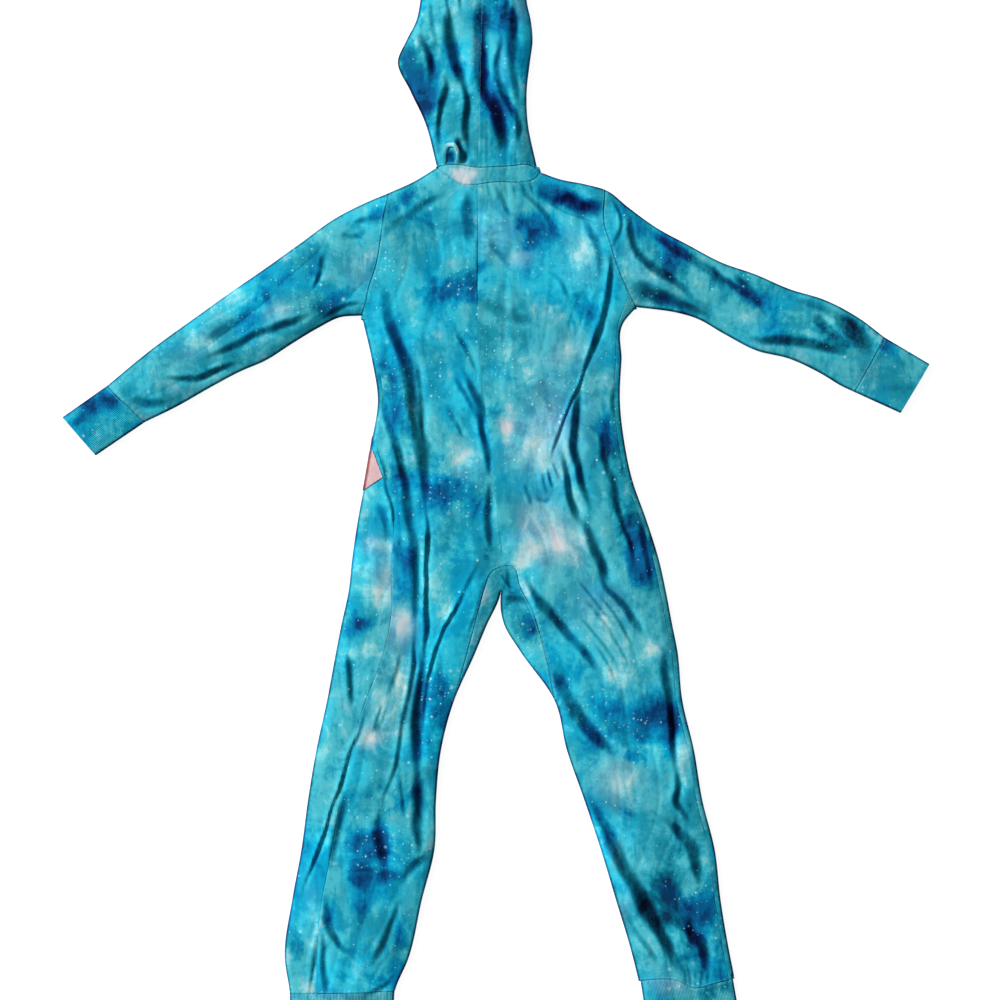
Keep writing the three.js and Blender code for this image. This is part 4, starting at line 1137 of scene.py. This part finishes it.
def build_pieces():
    left = make_shell("left_body", lambda inset, step: body_grid("left", inset, step), JERSEY)
    right = make_shell("right_body", lambda inset, step: body_grid("right", inset, step), JERSEY)
    body = boolean(left, right, "UNION", "body")
    hood = make_shell("hood", hood_grid, JERSEY)
    cutters = {
        "back_left": (left, above(OUTLINES["back_left"])),
        "back_right": (right, above(OUTLINES["back_right"])),
        "front_left": (body, joined(below(OUTLINES["front_left"]), prism(OUTLINES["left_wrap"]))),
        "front_right": (body, joined(below(OUTLINES["front_right"]), prism(OUTLINES["right_wrap"]))),
        "crotch_gusset": (body, prism(OUTLINES["gusset"])),
        "front_placket": (body, below(PLACKET)),
        "hood_left": (hood, over_under(OUTLINES["hood_upper_left"], OUTLINES["hood_lower_left"])),
        "hood_right": (hood, over_under(OUTLINES["hood_upper_right"], OUTLINES["hood_lower_right"])),
        "neck_band": (hood, above(OUTLINES["neck_band"])),
    }
    pieces = {name: cut(f"{name}_cloth", *parts) for name, parts in cutters.items()}
    discard(left, right, body, hood)
    for side in ("left", "right"):
        sleeve = make_shell("sleeve", lambda inset, step: sleeve_grid(side, inset, step), JERSEY)
        pieces[f"sleeve_{side}"] = cut(f"sleeve_{side}_cloth", sleeve, prism(OUTLINES[f"{side}_sleeve"]))
        discard(sleeve)
    pocket = pocket_shell()
    pieces["front_pocket"] = cut("front_pocket_cloth", pocket, over_under(POCKET_ABOVE, POCKET_BELOW))
    discard(pocket)
    pieces["hang_loop"] = hang_loop()
    for name in CUFFS:
        shell = make_shell("cuff", lambda inset, step: cuff_grid(name, inset, step), RIB)
        pieces[name] = cut(f"{name}_cloth", shell, prism(OUTLINES[name]))
        discard(shell)
    return pieces


# ---------- the print, listed ---------------

# x, y, radius x, radius y, turn, tone (deep below 0, pale above), pinkish share
BLOTCHES = [
    # back
    (-40, 208, 38, 20, -15, -0.9, 0), (-22, 239, 15, 12, 0, -0.7, 0), (-82, 209, 22, 10, 10, -0.5, 0),
    (-121, 76, 13, 46, 4, -1, 0), (-55, -27, 26, 18, 0, -0.9, 0), (-65, 13, 18, 9, 0, -0.6, 0),
    (47, 280, 30, 21, 30, -0.85, 0), (36, 298, 10, 7, 0, -0.6, 0), (25, 236, 22, 8, 0, -0.45, 0),
    # The deep blotch at (94, 317) is painted shadow on the right shoulder, not print.
    (106, 186, 18, 26, -10, -0.8, 0), (94, 317, 38, 9, -18, -0.85, 0),
    (128, 46, 11, 28, 10, -0.75, 0), (173, -94, 16, 44, 10, -0.9, 0),
    (-134, 308, 20, 9, 10, -0.85, 0), (-107, 324, 18, 9, 25, -0.6, 0), (-84, 300, 22, 12, 30, -0.3, 0),
    (4, 65, 24, 12, 0, -0.5, 0), (58, 126, 16, 20, 0, -0.5, 0), (29, 92, 18, 10, 0, -0.3, 0),
    (-31, 150, 16, 20, 0, -0.35, 0), (-22, -53, 10, 12, 0, -0.5, 0), (-106, -104, 10, 15, 0, -0.7, 0),
    (-110, -138, 12, 20, 0, -0.55, 0), (-143, 112, 10, 30, 0, -0.4, 0), (77, 30, 12, 22, 0, -0.35, 0),
    (146, -20, 10, 22, 0, -0.4, 0), (-104, 42, 6, 40, 4, -0.6, 0), (-122, -10, 8, 26, 0, -0.5, 0),
    (-1, 280, 24, 28, 0, 0.65, 0.1), (102, 258, 18, 30, 0, 0.65, 0.15), (28, 248, 13, 9, 0, 0.6, 0.25),
    (82, 138, 26, 14, 15, 0.75, 0.15), (28, 122, 18, 22, 0, 0.45, 0), (58, 38, 26, 22, 0, 0.6, 0.25),
    (16, 45, 7, 7, 0, 0.7, 0.8), (-67, 34, 20, 18, 0, 0.3, 0), (-36, 1, 16, 18, 0, 0.6, 0.15),
    (66, -92, 24, 18, 10, 0.9, 0.9), (53, -64, 19, 17, 0, 0.6, 0.4), (-59, -100, 30, 24, 0, 0.45, 0),
    (-85, 262, 30, 20, 0, 0.3, 0), (-22, 190, 20, 8, 0, 0.3, 0), (-110, 130, 9, 34, 0, 0.4, 0),
    (113, 84, 12, 34, 0, 0.45, 0.05), (40, 10, 20, 16, 0, 0.5, 0.2), (64, 84, 26, 34, 0, 0.4, 0.1),
    (70, 20, 22, 30, 0, 0.35, 0.15), (20, -110, 26, 12, 0, 0.45, 0),
    # left leg
    (-160, -190, 28, 11, 12, -0.85, 0), (-150, -24, 8, 18, 0, -0.35, 0),
    (-66, -296, 16, 34, 0, -0.85, 0),
    (-205, -367, 12, 15, 0, -0.5, 0), (-163, -452, 24, 14, 0, -1.1, 0),
    (-136, -490, 26, 9, -8, -0.95, 0),
    (-164, -496, 13, 8, -30, -0.8, 0), (-139, -448, 9, 20, 0, -1, 0), (-149, -518, 20, 15, 0, -0.45, 0),
    (-114, -400, 24, 30, 0, -0.5, 0), (-114, -565, 12, 14, 0, -0.7, 0),
    (-140, -614, 28, 9, 12, -0.6, 0),
    (-198, -540, 11, 30, 12, -0.5, 0), (-236, -572, 12, 14, 0, -0.4, 0),
    (-187, -612, 22, 14, 0, -0.35, 0),
    (-137, -97, 18, 9, 0, 0.6, 0.3), (-131, -136, 13, 20, 0, 0.6, 0.35),
    (-113, -186, 12, 14, 0, 0.8, 0.7),
    (-151, -158, 17, 14, 0, 0.6, 0), (-156, -224, 26, 14, 0, 0.5, 0),
    (-114, -248, 16, 46, 0, 0.65, 0.1),
    (-152, -323, 10, 9, 0, 0.7, 0.7), (-186, -349, 10, 10, 0, 0.4, 0),
    (-139, -290, 16, 20, 0, 0.4, 0.1),
    (-216, -548, 9, 40, 12, 0.5, 0.05), (-196, -636, 40, 12, 0, 0.6, 0.1),
    (-121, -430, 12, 14, 0, 0.3, 0),
    (-190, -420, 8, 60, 12, 0.45, 0), (-158, -560, 16, 22, 30, 0.2, 0), (-46, -180, 14, 30, 30, 0.3, 0),
    # right leg
    (35, -190, 14, 19, 15, -0.75, 0), (76, -168, 11, 11, 0, -0.5, 0),
    (109, -203, 20, 10, -30, -0.35, 0),
    (66, -230, 12, 18, -30, -0.4, 0), (173, -312, 34, 24, 0, -0.85, 0), (169, -350, 15, 8, 0, -0.7, 0),
    (208, -318, 8, 30, 0, -0.8, 0), (140, -288, 18, 10, 0, -0.45, 0), (162, -112, 9, 18, 0, -0.8, 0),
    (184, -104, 8, 20, 0, -0.9, 0), (222, -530, 34, 20, -10, -0.85, 0), (255, -514, 12, 26, 0, -0.9, 0),
    (237, -560, 11, 17, 0, -0.9, 0), (260, -455, 8, 22, 0, -0.5, 0), (266, -624, 22, 14, 0, -0.65, 0),
    (150, -420, 14, 10, -30, -0.35, 0), (196, -505, 12, 12, 0, -0.5, 0), (130, -362, 16, 8, 0, -0.4, 0),
    (149, -250, 20, 13, -20, 0.7, 0.05), (190, -220, 11, 10, 0, 0.7, 0.2),
    (121, -172, 28, 26, -30, 0.5, 0.1),
    (226, -344, 8, 14, 0, 0.6, 0.25), (150, -379, 22, 19, 0, 0.7, 0.25),
    (84, -312, 10, 30, -20, 0.5, 0),
    (176, -468, 18, 12, -20, 0.3, 0), (96, -250, 14, 30, -30, -0.45, 0),
    (212, -470, 10, 40, -10, -0.4, 0),
    (186, -290, 24, 20, 0, -0.4, 0), (120, -340, 14, 20, -30, -0.35, 0),
    (236, -590, 24, 12, 0, -0.4, 0), (125, -436, 12, 31, -20, 0.3, 0),
    (150, -540, 10, 30, -25, 0.5, 0.1),
    (224, -400, 10, 22, 0, 0.4, 0), (205, -616, 22, 13, 0, 0.5, 0.15), (184, -170, 14, 22, 0, 0.35, 0),
    # left sleeve
    (-196, 200, 24, 10, 22, -0.95, 0), (-205, 276, 14, 9, 20, -0.4, 0),
    (-296, 193, 22, 12, 25, -0.65, 0),
    (-160, 272, 9, 12, 0, -0.5, 0), (-334, 116, 20, 6, 20, -0.6, 0), (-480, 74, 26, 11, 25, -0.8, 0),
    (-508, 54, 12, 9, 0, -0.7, 0), (-250, 226, 20, 10, 30, -0.35, 0), (-212, 236, 12, 16, 0, -0.4, 0),
    (-258, 184, 14, 10, 0, 0.65, 0.2), (-162, 234, 13, 16, 0, 0.6, 0.15),
    (-361, 145, 26, 12, 30, 0.6, 0.1),
    (-420, 112, 16, 10, 30, 0.3, 0), (-452, 52, 20, 10, 35, 0.45, 0), (-232, 158, 26, 8, 25, 0.3, 0),
    # right sleeve
    (161, 312, 14, 14, 0, -0.8, 0), (212, 264, 46, 13, -32, -0.85, 0), (288, 215, 22, 9, -35, -0.6, 0),
    (319, 202, 26, 13, -35, -0.7, 0), (338, 169, 22, 10, 0, -0.55, 0), (392, 171, 11, 8, 0, -0.9, 0),
    (374, 156, 13, 6, 0, -0.8, 0), (426, 162, 18, 22, -20, -0.7, 0), (466, 146, 15, 11, -20, -1, 0),
    (250, 226, 24, 10, -32, -0.4, 0), (508, 116, 20, 10, -30, -0.3, 0), (300, 240, 12, 8, -25, -0.3, 0),
    (212, 190, 34, 8, -22, -0.5, 0), (404, 150, 14, 10, 0, -0.5, 0), (360, 150, 30, 7, -12, -0.4, 0),
    (200, 244, 30, 8, -35, -0.4, 0), (307, 178, 18, 10, -20, 0.6, 0.1),
    (163, 252, 10, 20, 0, 0.45, 0.05), (186, 232, 14, 11, 0, 0.45, 0.1),
    (238, 200, 16, 8, -20, 0.3, 0), (440, 108, 24, 10, -25, 0.45, 0.05), (478, 84, 20, 14, -25, 0.4, 0),
    # hood
    (-99, 486, 11, 26, 0, -1.2, 0), (-90, 446, 9, 26, 15, -0.9, 0), (0, 438, 13, 30, 15, -0.8, 0),
    (-74, 481, 7, 30, 0, -0.7, 0), (13, 542, 13, 22, 0, -1, 0),
    (-48, 476, 12, 34, 0, -0.7, 0), (6, 415, 16, 26, 0, -0.6, 0), (-77, 440, 8, 22, 0, -0.5, 0),
    (-16, 500, 9, 60, 0, -0.6, 0), (28, 470, 8, 30, 0, -0.4, 0), (-98, 545, 12, 20, 0, -0.35, 0),
    (-49, 548, 11, 22, 0, 0.55, 0.05), (32, 554, 8, 18, 0, 0.6, 0.15), (5, 480, 10, 24, 0, 0.5, 0.05),
    (-36, 392, 9, 14, 0, 0.6, 0.05), (-14, 386, 9, 16, 0, 0.5, 0), (-62, 425, 6, 24, 0, 0.35, 0),
    (-37, 350, 12, 7, -8, 1.1, 1.1), (30, 376, 14, 10, 0, 0.3, 0), (-54, 385.5, 12, 16, 0, 0.55, 0),
    # The deep blotch at (-53, 371) is painted shade inside the hang loop's arch, not print.
    (-53, 371, 6, 9, 0, -1.2, 0),
]
STAR_CLUSTERS = [
    (-125, 239), (-43, 224), (-25, 164), (11, 164), (-125, 104), (-64, -28), (-41, -55), (-66, -253),
    (-79, -289), (-163, -424), (-149, -467), (29, 92), (72, 104), (34, 64), (167, -16), (155, 56),
    (83, -186), (-235, 230), (-230, 204), (-307, 173), (35, -202), (119, -298), (167, -316), (233, -520),
    (-120, -436), (-110, -470), (-16, -20), (-28, 0), (112, 240), (60, 60), (6, 116), (-70, 96),
]
STRAY = 0.3  # how much of a blotch runs on past a seam
# How strongly painted shade darkens the colour: in the creases, and along the folded edges.
HOLLOW_SHADE, RIM_SHADE = 0.9, 2.0


def coordinates(mesh):
    co = np.zeros(len(mesh.vertices) * 3)
    mesh.vertices.foreach_get("co", co)
    return co.reshape(-1, 3) / MM


def set_attribute(mesh, name, values, kind="FLOAT"):
    attribute = mesh.attributes.new(name, kind, "POINT")
    field = "value" if kind == "FLOAT" else "vector"
    attribute.data.foreach_set(field, np.asarray(values, np.float32).ravel())


def blotch_owners(pieces):
    """For each blotch, the piece whose upper side lies nearest to its middle."""
    names, plans = [], []
    for name, piece in pieces.items():
        co = coordinates(piece.data)
        plan = co[co[:, 2] > RADIUS][::7, :2]
        plans.append(plan)
        names += [name] * len(plan)
    plans = np.vstack(plans)
    return [names[np.hypot(*(plans - blotch[:2]).T).argmin()] for blotch in BLOTCHES]


def blotch_sums(plan, name, owners):
    warp_x = 11 * fractal(plan[:, 0] / 34, plan[:, 1] / 34, 500, 4)
    warp_y = 11 * fractal(plan[:, 0] / 34, plan[:, 1] / 34, 520, 4)
    x, y = plan[:, 0] + warp_x, plan[:, 1] + warp_y
    tone, pink = np.zeros(len(plan)), np.zeros(len(plan))
    for (bx, by, rx, ry, turn, depth, rose), owner in zip(BLOTCHES, owners):
        c, s = math.cos(math.radians(turn)), math.sin(math.radians(turn))
        u = ((x - bx) * c + (y - by) * s) / rx
        v = (-(x - bx) * s + (y - by) * c) / ry
        spot = np.exp(-0.75 * (u * u + v * v)) * (1 if owner == name else STRAY)
        tone += depth * spot
        pink += rose * spot
    return np.clip(tone, -1.2, 1.1), np.clip(pink, 0, 1)


def star_density(plan):
    density = np.zeros(len(plan))
    for centre in STAR_CLUSTERS:
        density += np.exp(-((np.hypot(*(plan - centre).T) / 22) ** 2))
    return np.clip(density, 0, 1)


def rib_place(name, plan):
    """How far each point lies across a cuff, whose ribs run along the limb."""
    if name not in CUFFS:
        return np.zeros(len(plan))
    a, b, c, d = (np.array(point, float) for point in CUFFS[name])
    axis = (c + d) / 2 - (a + b) / 2
    return (plan - (a + b) / 2) @ (np.array([-axis[1], axis[0]]) / np.hypot(*axis))


def dress(pieces):
    """Gives each printed piece the values that its material reads."""
    owners = blotch_owners(pieces)
    seams = Lines(SEAMS.values(), 4.0)
    depths = np.array([SEAM_DEPTHS.get(name, 1.0) for name in SEAMS])
    starts = np.where(seams.first)[0]
    for number, (name, piece) in enumerate(pieces.items()):
        mesh = piece.data
        co = coordinates(mesh)
        plan, z = co[:, :2], co[:, 2]
        edge, _ = FOLD_EDGES.measure(plan)
        under = smoothstep((RADIUS - z) / 1.5) * smoothstep((edge - 4) / 40)
        tone, pink = blotch_sums(plan, name, owners)
        turned = np.column_stack([60 - plan[:, 0], 0.9 * plan[:, 1] - 30])
        tone_under, pink_under = blotch_sums(turned, "", owners)
        set_attribute(mesh, "tone", tone + under * (3 * tone_under - tone))
        set_attribute(mesh, "pink", pink + under * (2 * pink_under - pink))
        set_attribute(mesh, "stars", star_density(plan))
        layer = 0.3 * under + 0.61 * number
        set_attribute(mesh, "print_pos", np.column_stack([plan * MM, layer]), "FLOAT_VECTOR")
        upper = smoothstep((z - RADIUS) / 2) * smoothstep(edge / FOLD_FADE)
        # Painted crease shade: how far the material darkens the colour in a crease on the upper side.
        set_attribute(mesh, "crease_painted_shade", RELIEF.at(plan)[1] * upper)
        # Distance from the folded edges, along which the material darkens the colour as painted shade.
        set_attribute(mesh, "edge", edge)
        distance, along, nearest = seams.measure(plan, True)
        set_attribute(mesh, "seam_depth", depths[np.searchsorted(starts, nearest, side="right") - 1])
        set_attribute(mesh, "seam", distance)
        set_attribute(mesh, "seam_along", along)
        set_attribute(mesh, "rib", rib_place(name, plan))
        mesh.set_sharp_from_angle(angle=math.radians(50))


# ---------- materials ----------


class Graph:
    """A material's nodes, made by short calls."""

    def __init__(self, name):
        self.material = bpy.data.materials.new(name)
        self.material.use_nodes = True
        self.tree = self.material.node_tree
        self.tree.nodes.clear()
        self.shader = self.node("ShaderNodeBsdfPrincipled")
        output = self.node("ShaderNodeOutputMaterial")
        self.link(self.shader.outputs[0], output.inputs[0])

    def node(self, kind, **settings):
        node = self.tree.nodes.new(kind)
        for key, value in settings.items():
            setattr(node, key, value)
        return node

    def link(self, source, target):
        self.tree.links.new(source, target)

    def put(self, socket, value):
        if isinstance(value, bpy.types.NodeSocket):
            self.link(value, socket)
        else:
            socket.default_value = value

    def attribute(self, name, output="Fac"):
        return self.node("ShaderNodeAttribute", attribute_name=name).outputs[output]

    def math(self, operation, a, b=None, clamp=False):
        node = self.node("ShaderNodeMath", operation=operation, use_clamp=clamp)
        self.put(node.inputs[0], a)
        if b is not None:
            self.put(node.inputs[1], b)
        return node.outputs[0]

    def add(self, *values):
        total = values[0]
        for value in values[1:]:
            total = self.math("ADD", total, value)
        return total

    def times(self, a, b):
        return self.math("MULTIPLY", a, b)

    def remap(self, value, low, high, to_low=0.0, to_high=1.0, smooth=True):
        node = self.node("ShaderNodeMapRange", interpolation_type="SMOOTHSTEP" if smooth else "LINEAR")
        for socket, given in zip(node.inputs[:5], (value, low, high, to_low, to_high)):
            self.put(socket, given)
        return node.outputs[0]

    def scaled(self, vector, scale):
        node = self.node("ShaderNodeVectorMath", operation="MULTIPLY")
        self.put(node.inputs[0], vector)
        node.inputs[1].default_value = scale
        return node.outputs[0]

    def noise(self, vector, scale, detail=3.0, roughness=0.5, distortion=0.0):
        node = self.node("ShaderNodeTexNoise", noise_dimensions="3D")
        self.put(node.inputs["Vector"], vector)
        settings = {
            "Scale": scale, "Detail": detail, "Roughness": roughness, "Distortion": distortion,
        }
        for key, value in settings.items():
            node.inputs[key].default_value = value
        return node.outputs["Fac"]

    def mix(self, share, a, b, blend="MIX"):
        node = self.node("ShaderNodeMix", data_type="RGBA", blend_type=blend)
        self.put(node.inputs["Factor"], share)
        colours = [s for s in node.inputs if s.type == "RGBA"]
        self.put(colours[0], a)
        self.put(colours[1], b)
        return next(s for s in node.outputs if s.type == "RGBA")

    def ramp(self, value, stops):
        node = self.node("ShaderNodeValToRGB")
        node.color_ramp.interpolation = "EASE"
        elements = node.color_ramp.elements
        while len(elements) < len(stops):
            elements.new(0.5)
        for element, (place, colour) in zip(elements, stops):
            element.position = place
            element.color = colour
        self.put(node.inputs[0], value)
        return node.outputs[0]

    def bump(self, height, strength, distance, normal=None):
        node = self.node("ShaderNodeBump")
        node.inputs["Strength"].default_value = strength
        node.inputs["Distance"].default_value = distance
        self.put(node.inputs["Height"], height)
        if normal is not None:
            self.put(node.inputs["Normal"], normal)
        return node.outputs["Normal"]


def srgb(r, g, b):
    channel = lambda v: (v / 255 / 12.92) if v <= 10 else ((v / 255 + 0.055) / 1.055) ** 2.4
    return (channel(r), channel(g), channel(b), 1.0)


BLUE_RAMP = [
    (0.00, srgb(0, 52, 100)), (0.16, srgb(0, 92, 142)), (0.32, srgb(0, 122, 170)),
    (0.52, srgb(0, 154, 192)), (0.70, srgb(36, 186, 212)), (0.86, srgb(100, 210, 224)),
    (1.00, srgb(162, 226, 232)),
]
TEAL_RAMP = [
    (0.00, srgb(0, 46, 72)), (0.16, srgb(0, 78, 106)), (0.32, srgb(0, 108, 134)),
    (0.52, srgb(26, 144, 166)), (0.70, srgb(70, 176, 190)), (0.86, srgb(122, 196, 202)),
    (1.00, srgb(176, 212, 212)),
]
PINK_RAMP = [
    (0.20, srgb(160, 122, 130)), (0.45, srgb(186, 150, 156)), (0.62, srgb(200, 168, 170)),
    (0.85, srgb(212, 192, 190)),
]
THREAD = srgb(120, 200, 214)
ROSE = srgb(212, 200, 206)
STAR = srgb(190, 240, 248)
TEAL_SIDE = 0.07  # how much greener the right side is


def star_layer(g, place, cell, radius, rare, density, boost):
    """Round specks, one at most to a cell, in a share of the cells that grows with density."""
    node = g.node("ShaderNodeTexVoronoi", voronoi_dimensions="2D")
    g.put(node.inputs["Vector"], place)
    node.inputs["Scale"].default_value = 1000 / cell
    random = g.node("ShaderNodeSeparateColor")
    g.link(node.outputs["Color"], random.inputs[0])
    limit = g.math("SUBTRACT", 1 - rare, g.times(density, boost))
    chosen = g.math("GREATER_THAN", random.outputs[0], limit)
    size = g.math("MULTIPLY_ADD", random.outputs[1], 0.6)
    size.node.inputs[2].default_value = 0.5
    reach = g.times(size, radius / cell)
    spot = g.math("SUBTRACT", 1.0, g.math("DIVIDE", node.outputs["Distance"], reach), clamp=True)
    return g.times(g.times(spot, chosen), g.remap(random.outputs[2], 0, 1, 0.45, 1.0))


def jersey_bump(g, rib=False):
    """The knit's fine relief, a cuff's ribs, and the groove, puckers and stitches at a seam."""
    place = g.node("ShaderNodeTexCoord").outputs["Object"]
    knit = g.noise(g.scaled(place, (1, 0.35, 1)), 900, 2, 0.6)
    loose = g.noise(place, 160, 3, 0.6)
    normal = g.bump(knit, 0.25, 0.0002)
    normal = g.bump(loose, 0.35, 0.0006, normal)
    if rib:
        normal = g.bump(g.math("SINE", g.times(g.attribute("rib"), 3.6)), 0.5, 0.0004, normal)
    distance = g.attribute("seam")
    groove = g.remap(distance, 0.0, 1.3, -1.0, 0.0)
    along = g.attribute("seam_along")
    wave = g.math("SINE", g.add(g.times(along, 0.9), g.times(g.noise(place, 60, 2), 9.0)))
    pucker = g.times(wave, g.remap(distance, 0.5, 9.0, 0.16, 0.0))
    relief = g.times(g.add(groove, pucker, g.times(stitches(g), 0.25)), g.attribute("seam_depth"))
    return g.bump(relief, 0.8, 0.0010, normal)


def print_colour(g):
    """The tie-dyed galaxy: soft clouds, deep and pale blotches with feathered edges, and stars."""
    place = g.attribute("print_pos", "Vector")
    tone = g.attribute("tone")
    cloud = g.noise(place, 16, 9, 0.66, 0.6)
    streak = g.noise(g.scaled(place, (1, 0.4, 1)), 46, 7, 0.66, 0.4)
    mottle = g.noise(place, 150, 5, 0.6, 0.3)
    centred = lambda value, scale: g.times(g.math("SUBTRACT", value, 0.5), scale)
    feather = g.add(centred(cloud, 1.5), centred(streak, 1.2), centred(mottle, 0.3))
    deep = g.remap(g.math("SUBTRACT", g.times(tone, -1.0), feather), 0.10, 1.05)
    pale = g.remap(g.add(tone, feather), 0.15, 1.0)
    level = g.add(
        0.61, centred(cloud, 0.95), centred(streak, 0.66), centred(mottle, 0.22),
        g.times(deep, -0.45), g.times(pale, 0.29),
    )
    across = g.node("ShaderNodeSeparateXYZ")
    g.link(place, across.inputs[0])
    teal = g.remap(across.outputs[0], 0.07, 0.2, 0.0, TEAL_SIDE)
    hue = g.remap(g.add(g.noise(place, 9, 4, 0.55, 0.4), g.times(deep, -0.2), teal), 0.38, 0.60)
    colour = g.mix(hue, g.ramp(level, BLUE_RAMP), g.ramp(level, TEAL_RAMP))
    rose = g.times(g.attribute("pink"), g.remap(streak, 0.32, 0.6, 0.35, 1.0))
    rose = g.times(rose, g.remap(deep, 0.0, 0.5, 1.0, 0.0))
    faint = g.times(g.remap(g.noise(place, 23, 5, 0.62), 0.56, 0.72), g.remap(level, 0.55, 0.8, 0.0, 0.5))
    colour = g.mix(g.add(rose, faint), colour, ROSE)
    density = g.attribute("stars")
    stars = g.add(
        star_layer(g, place, 5.5, 1.1, 0.03, density, 0.3),
        star_layer(g, place, 11, 1.9, 0.03, density, 0.3),
        g.times(star_layer(g, place, 26, 3.2, 0.04, density, 0.25), 0.7),
    )
    return g.mix(g.math("MINIMUM", stars, 0.9), colour, STAR)


def finished(g, colour, rib=False):
    """Darkens the colour in the creases and along the folded edges as painted shade, and adds the knit."""
    # rim: painted shade along the folded edges, where the cloth turns away from the light.
    rim = g.remap(g.attribute("edge"), 0.0, 3.4, RIM_SHADE, 0.0)
    # A gamma above 1 darkens the colour: painted shade in the creases and along the folded edges.
    gamma = g.node("ShaderNodeGamma")
    g.link(colour, gamma.inputs[0])
    g.link(g.add(1.0, g.times(g.attribute("crease_painted_shade"), HOLLOW_SHADE), rim), gamma.inputs[1])
    stitch = g.times(stitches(g), 0.55)
    g.link(g.mix(stitch, gamma.outputs[0], THREAD), g.shader.inputs["Base Color"])
    g.link(jersey_bump(g, rib), g.shader.inputs["Normal"])
    g.shader.inputs["Roughness"].default_value = 0.82
    g.shader.inputs["Sheen Weight"].default_value = 0.01
    g.shader.inputs["Specular IOR Level"].default_value = 0.07
    return g.material


def stitches(g):
    """A row of short stitches beside each seam that has one."""
    beside = g.math("ABSOLUTE", g.math("SUBTRACT", g.attribute("seam"), 2.4))
    row = g.remap(beside, 0.25, 0.55, 1.0, 0.0)
    dash = g.remap(g.math("SINE", g.times(g.attribute("seam_along"), 2.4)), -0.5, 0.0)
    return g.times(g.times(row, dash), g.remap(g.attribute("seam_depth"), 0.5, 0.9))


def print_material(name, rib=False):
    g = Graph(name)
    return finished(g, print_colour(g), rib)


def pink_material():
    g = Graph("pink_jersey")
    place = g.attribute("print_pos", "Vector")
    tint = g.noise(place, 60, 6, 0.65, 0.4)
    heather = g.noise(place, 600, 3, 0.6)
    colour = g.ramp(g.add(g.times(tint, 0.8), g.times(heather, 0.3)), PINK_RAMP)
    return finished(g, colour)


def floor_material():
    g = Graph("studio_floor")
    place = g.node("ShaderNodeTexCoord").outputs["Object"]
    colour = g.mix(g.noise(place, 4, 2), srgb(150, 150, 152), srgb(146, 146, 148))
    g.link(colour, g.shader.inputs["Base Color"])
    g.shader.inputs["Emission Color"].default_value = (1, 1, 1, 1)
    g.shader.inputs["Emission Strength"].default_value = FLOOR_GLOW
    g.shader.inputs["Roughness"].default_value = 0.9
    return g.material


# ---------- stage ----------

KEY_HEIGHT, KEY_SPREAD = 33.0, 14.0  # degrees
KEY_POWER, AMBIENT = 4.4, 0.25
FLOOR_REACH, FLOOR_Z = 8.0, -0.0004  # metres
FLOOR_GLOW = 0.9  # keeps the floor white in the suit's shadow, as on a light table


def make_stage():
    mesh = bpy.data.meshes.new("floor")
    corners = [(-1, -1), (1, -1), (1, 1), (-1, 1)]
    corners = [(x * FLOOR_REACH, y * FLOOR_REACH, FLOOR_Z) for x, y in corners]
    mesh.from_pydata(corners, [], [(0, 1, 2, 3)])
    floor = bpy.data.objects.new("floor", mesh)
    mesh.materials.append(floor_material())
    bpy.context.scene.collection.objects.link(floor)


def make_lights():
    data = bpy.data.lights.new("key", "SUN")
    data.energy = KEY_POWER
    data.angle = math.radians(KEY_SPREAD)
    key = bpy.data.objects.new("key", data)
    height = math.tan(math.radians(KEY_HEIGHT)) * np.hypot(*AWAY_FROM_LIGHT)
    way = Vector((*AWAY_FROM_LIGHT, -height))
    key.rotation_euler = way.to_track_quat("-Z", "Y").to_euler()
    key.location = -2 * way
    bpy.context.scene.collection.objects.link(key)
    world = bpy.data.worlds.new("studio")
    world.use_nodes = True
    background = world.node_tree.nodes["Background"]
    background.inputs[0].default_value = (1, 1, 1, 1)
    background.inputs[1].default_value = AMBIENT
    bpy.context.scene.world = world
    bpy.context.scene.view_settings.view_transform = "Standard"


# ---------- assembly ----------

PIECES = build_pieces()
dress(PIECES)
FINISHES = {
    "galaxy_jersey": print_material("galaxy_jersey"),
    "cuff_rib": print_material("cuff_rib", rib=True),
    "pink_jersey": pink_material(),
}
for name, piece in PIECES.items():
    slot = "cuff_rib" if name in CUFFS else "pink_jersey" if name == "front_pocket" else "galaxy_jersey"
    piece.data.materials.clear()
    piece.data.materials.append(FINISHES[slot])
    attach(piece, "root")
    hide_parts(name)
make_stage()
make_lights()
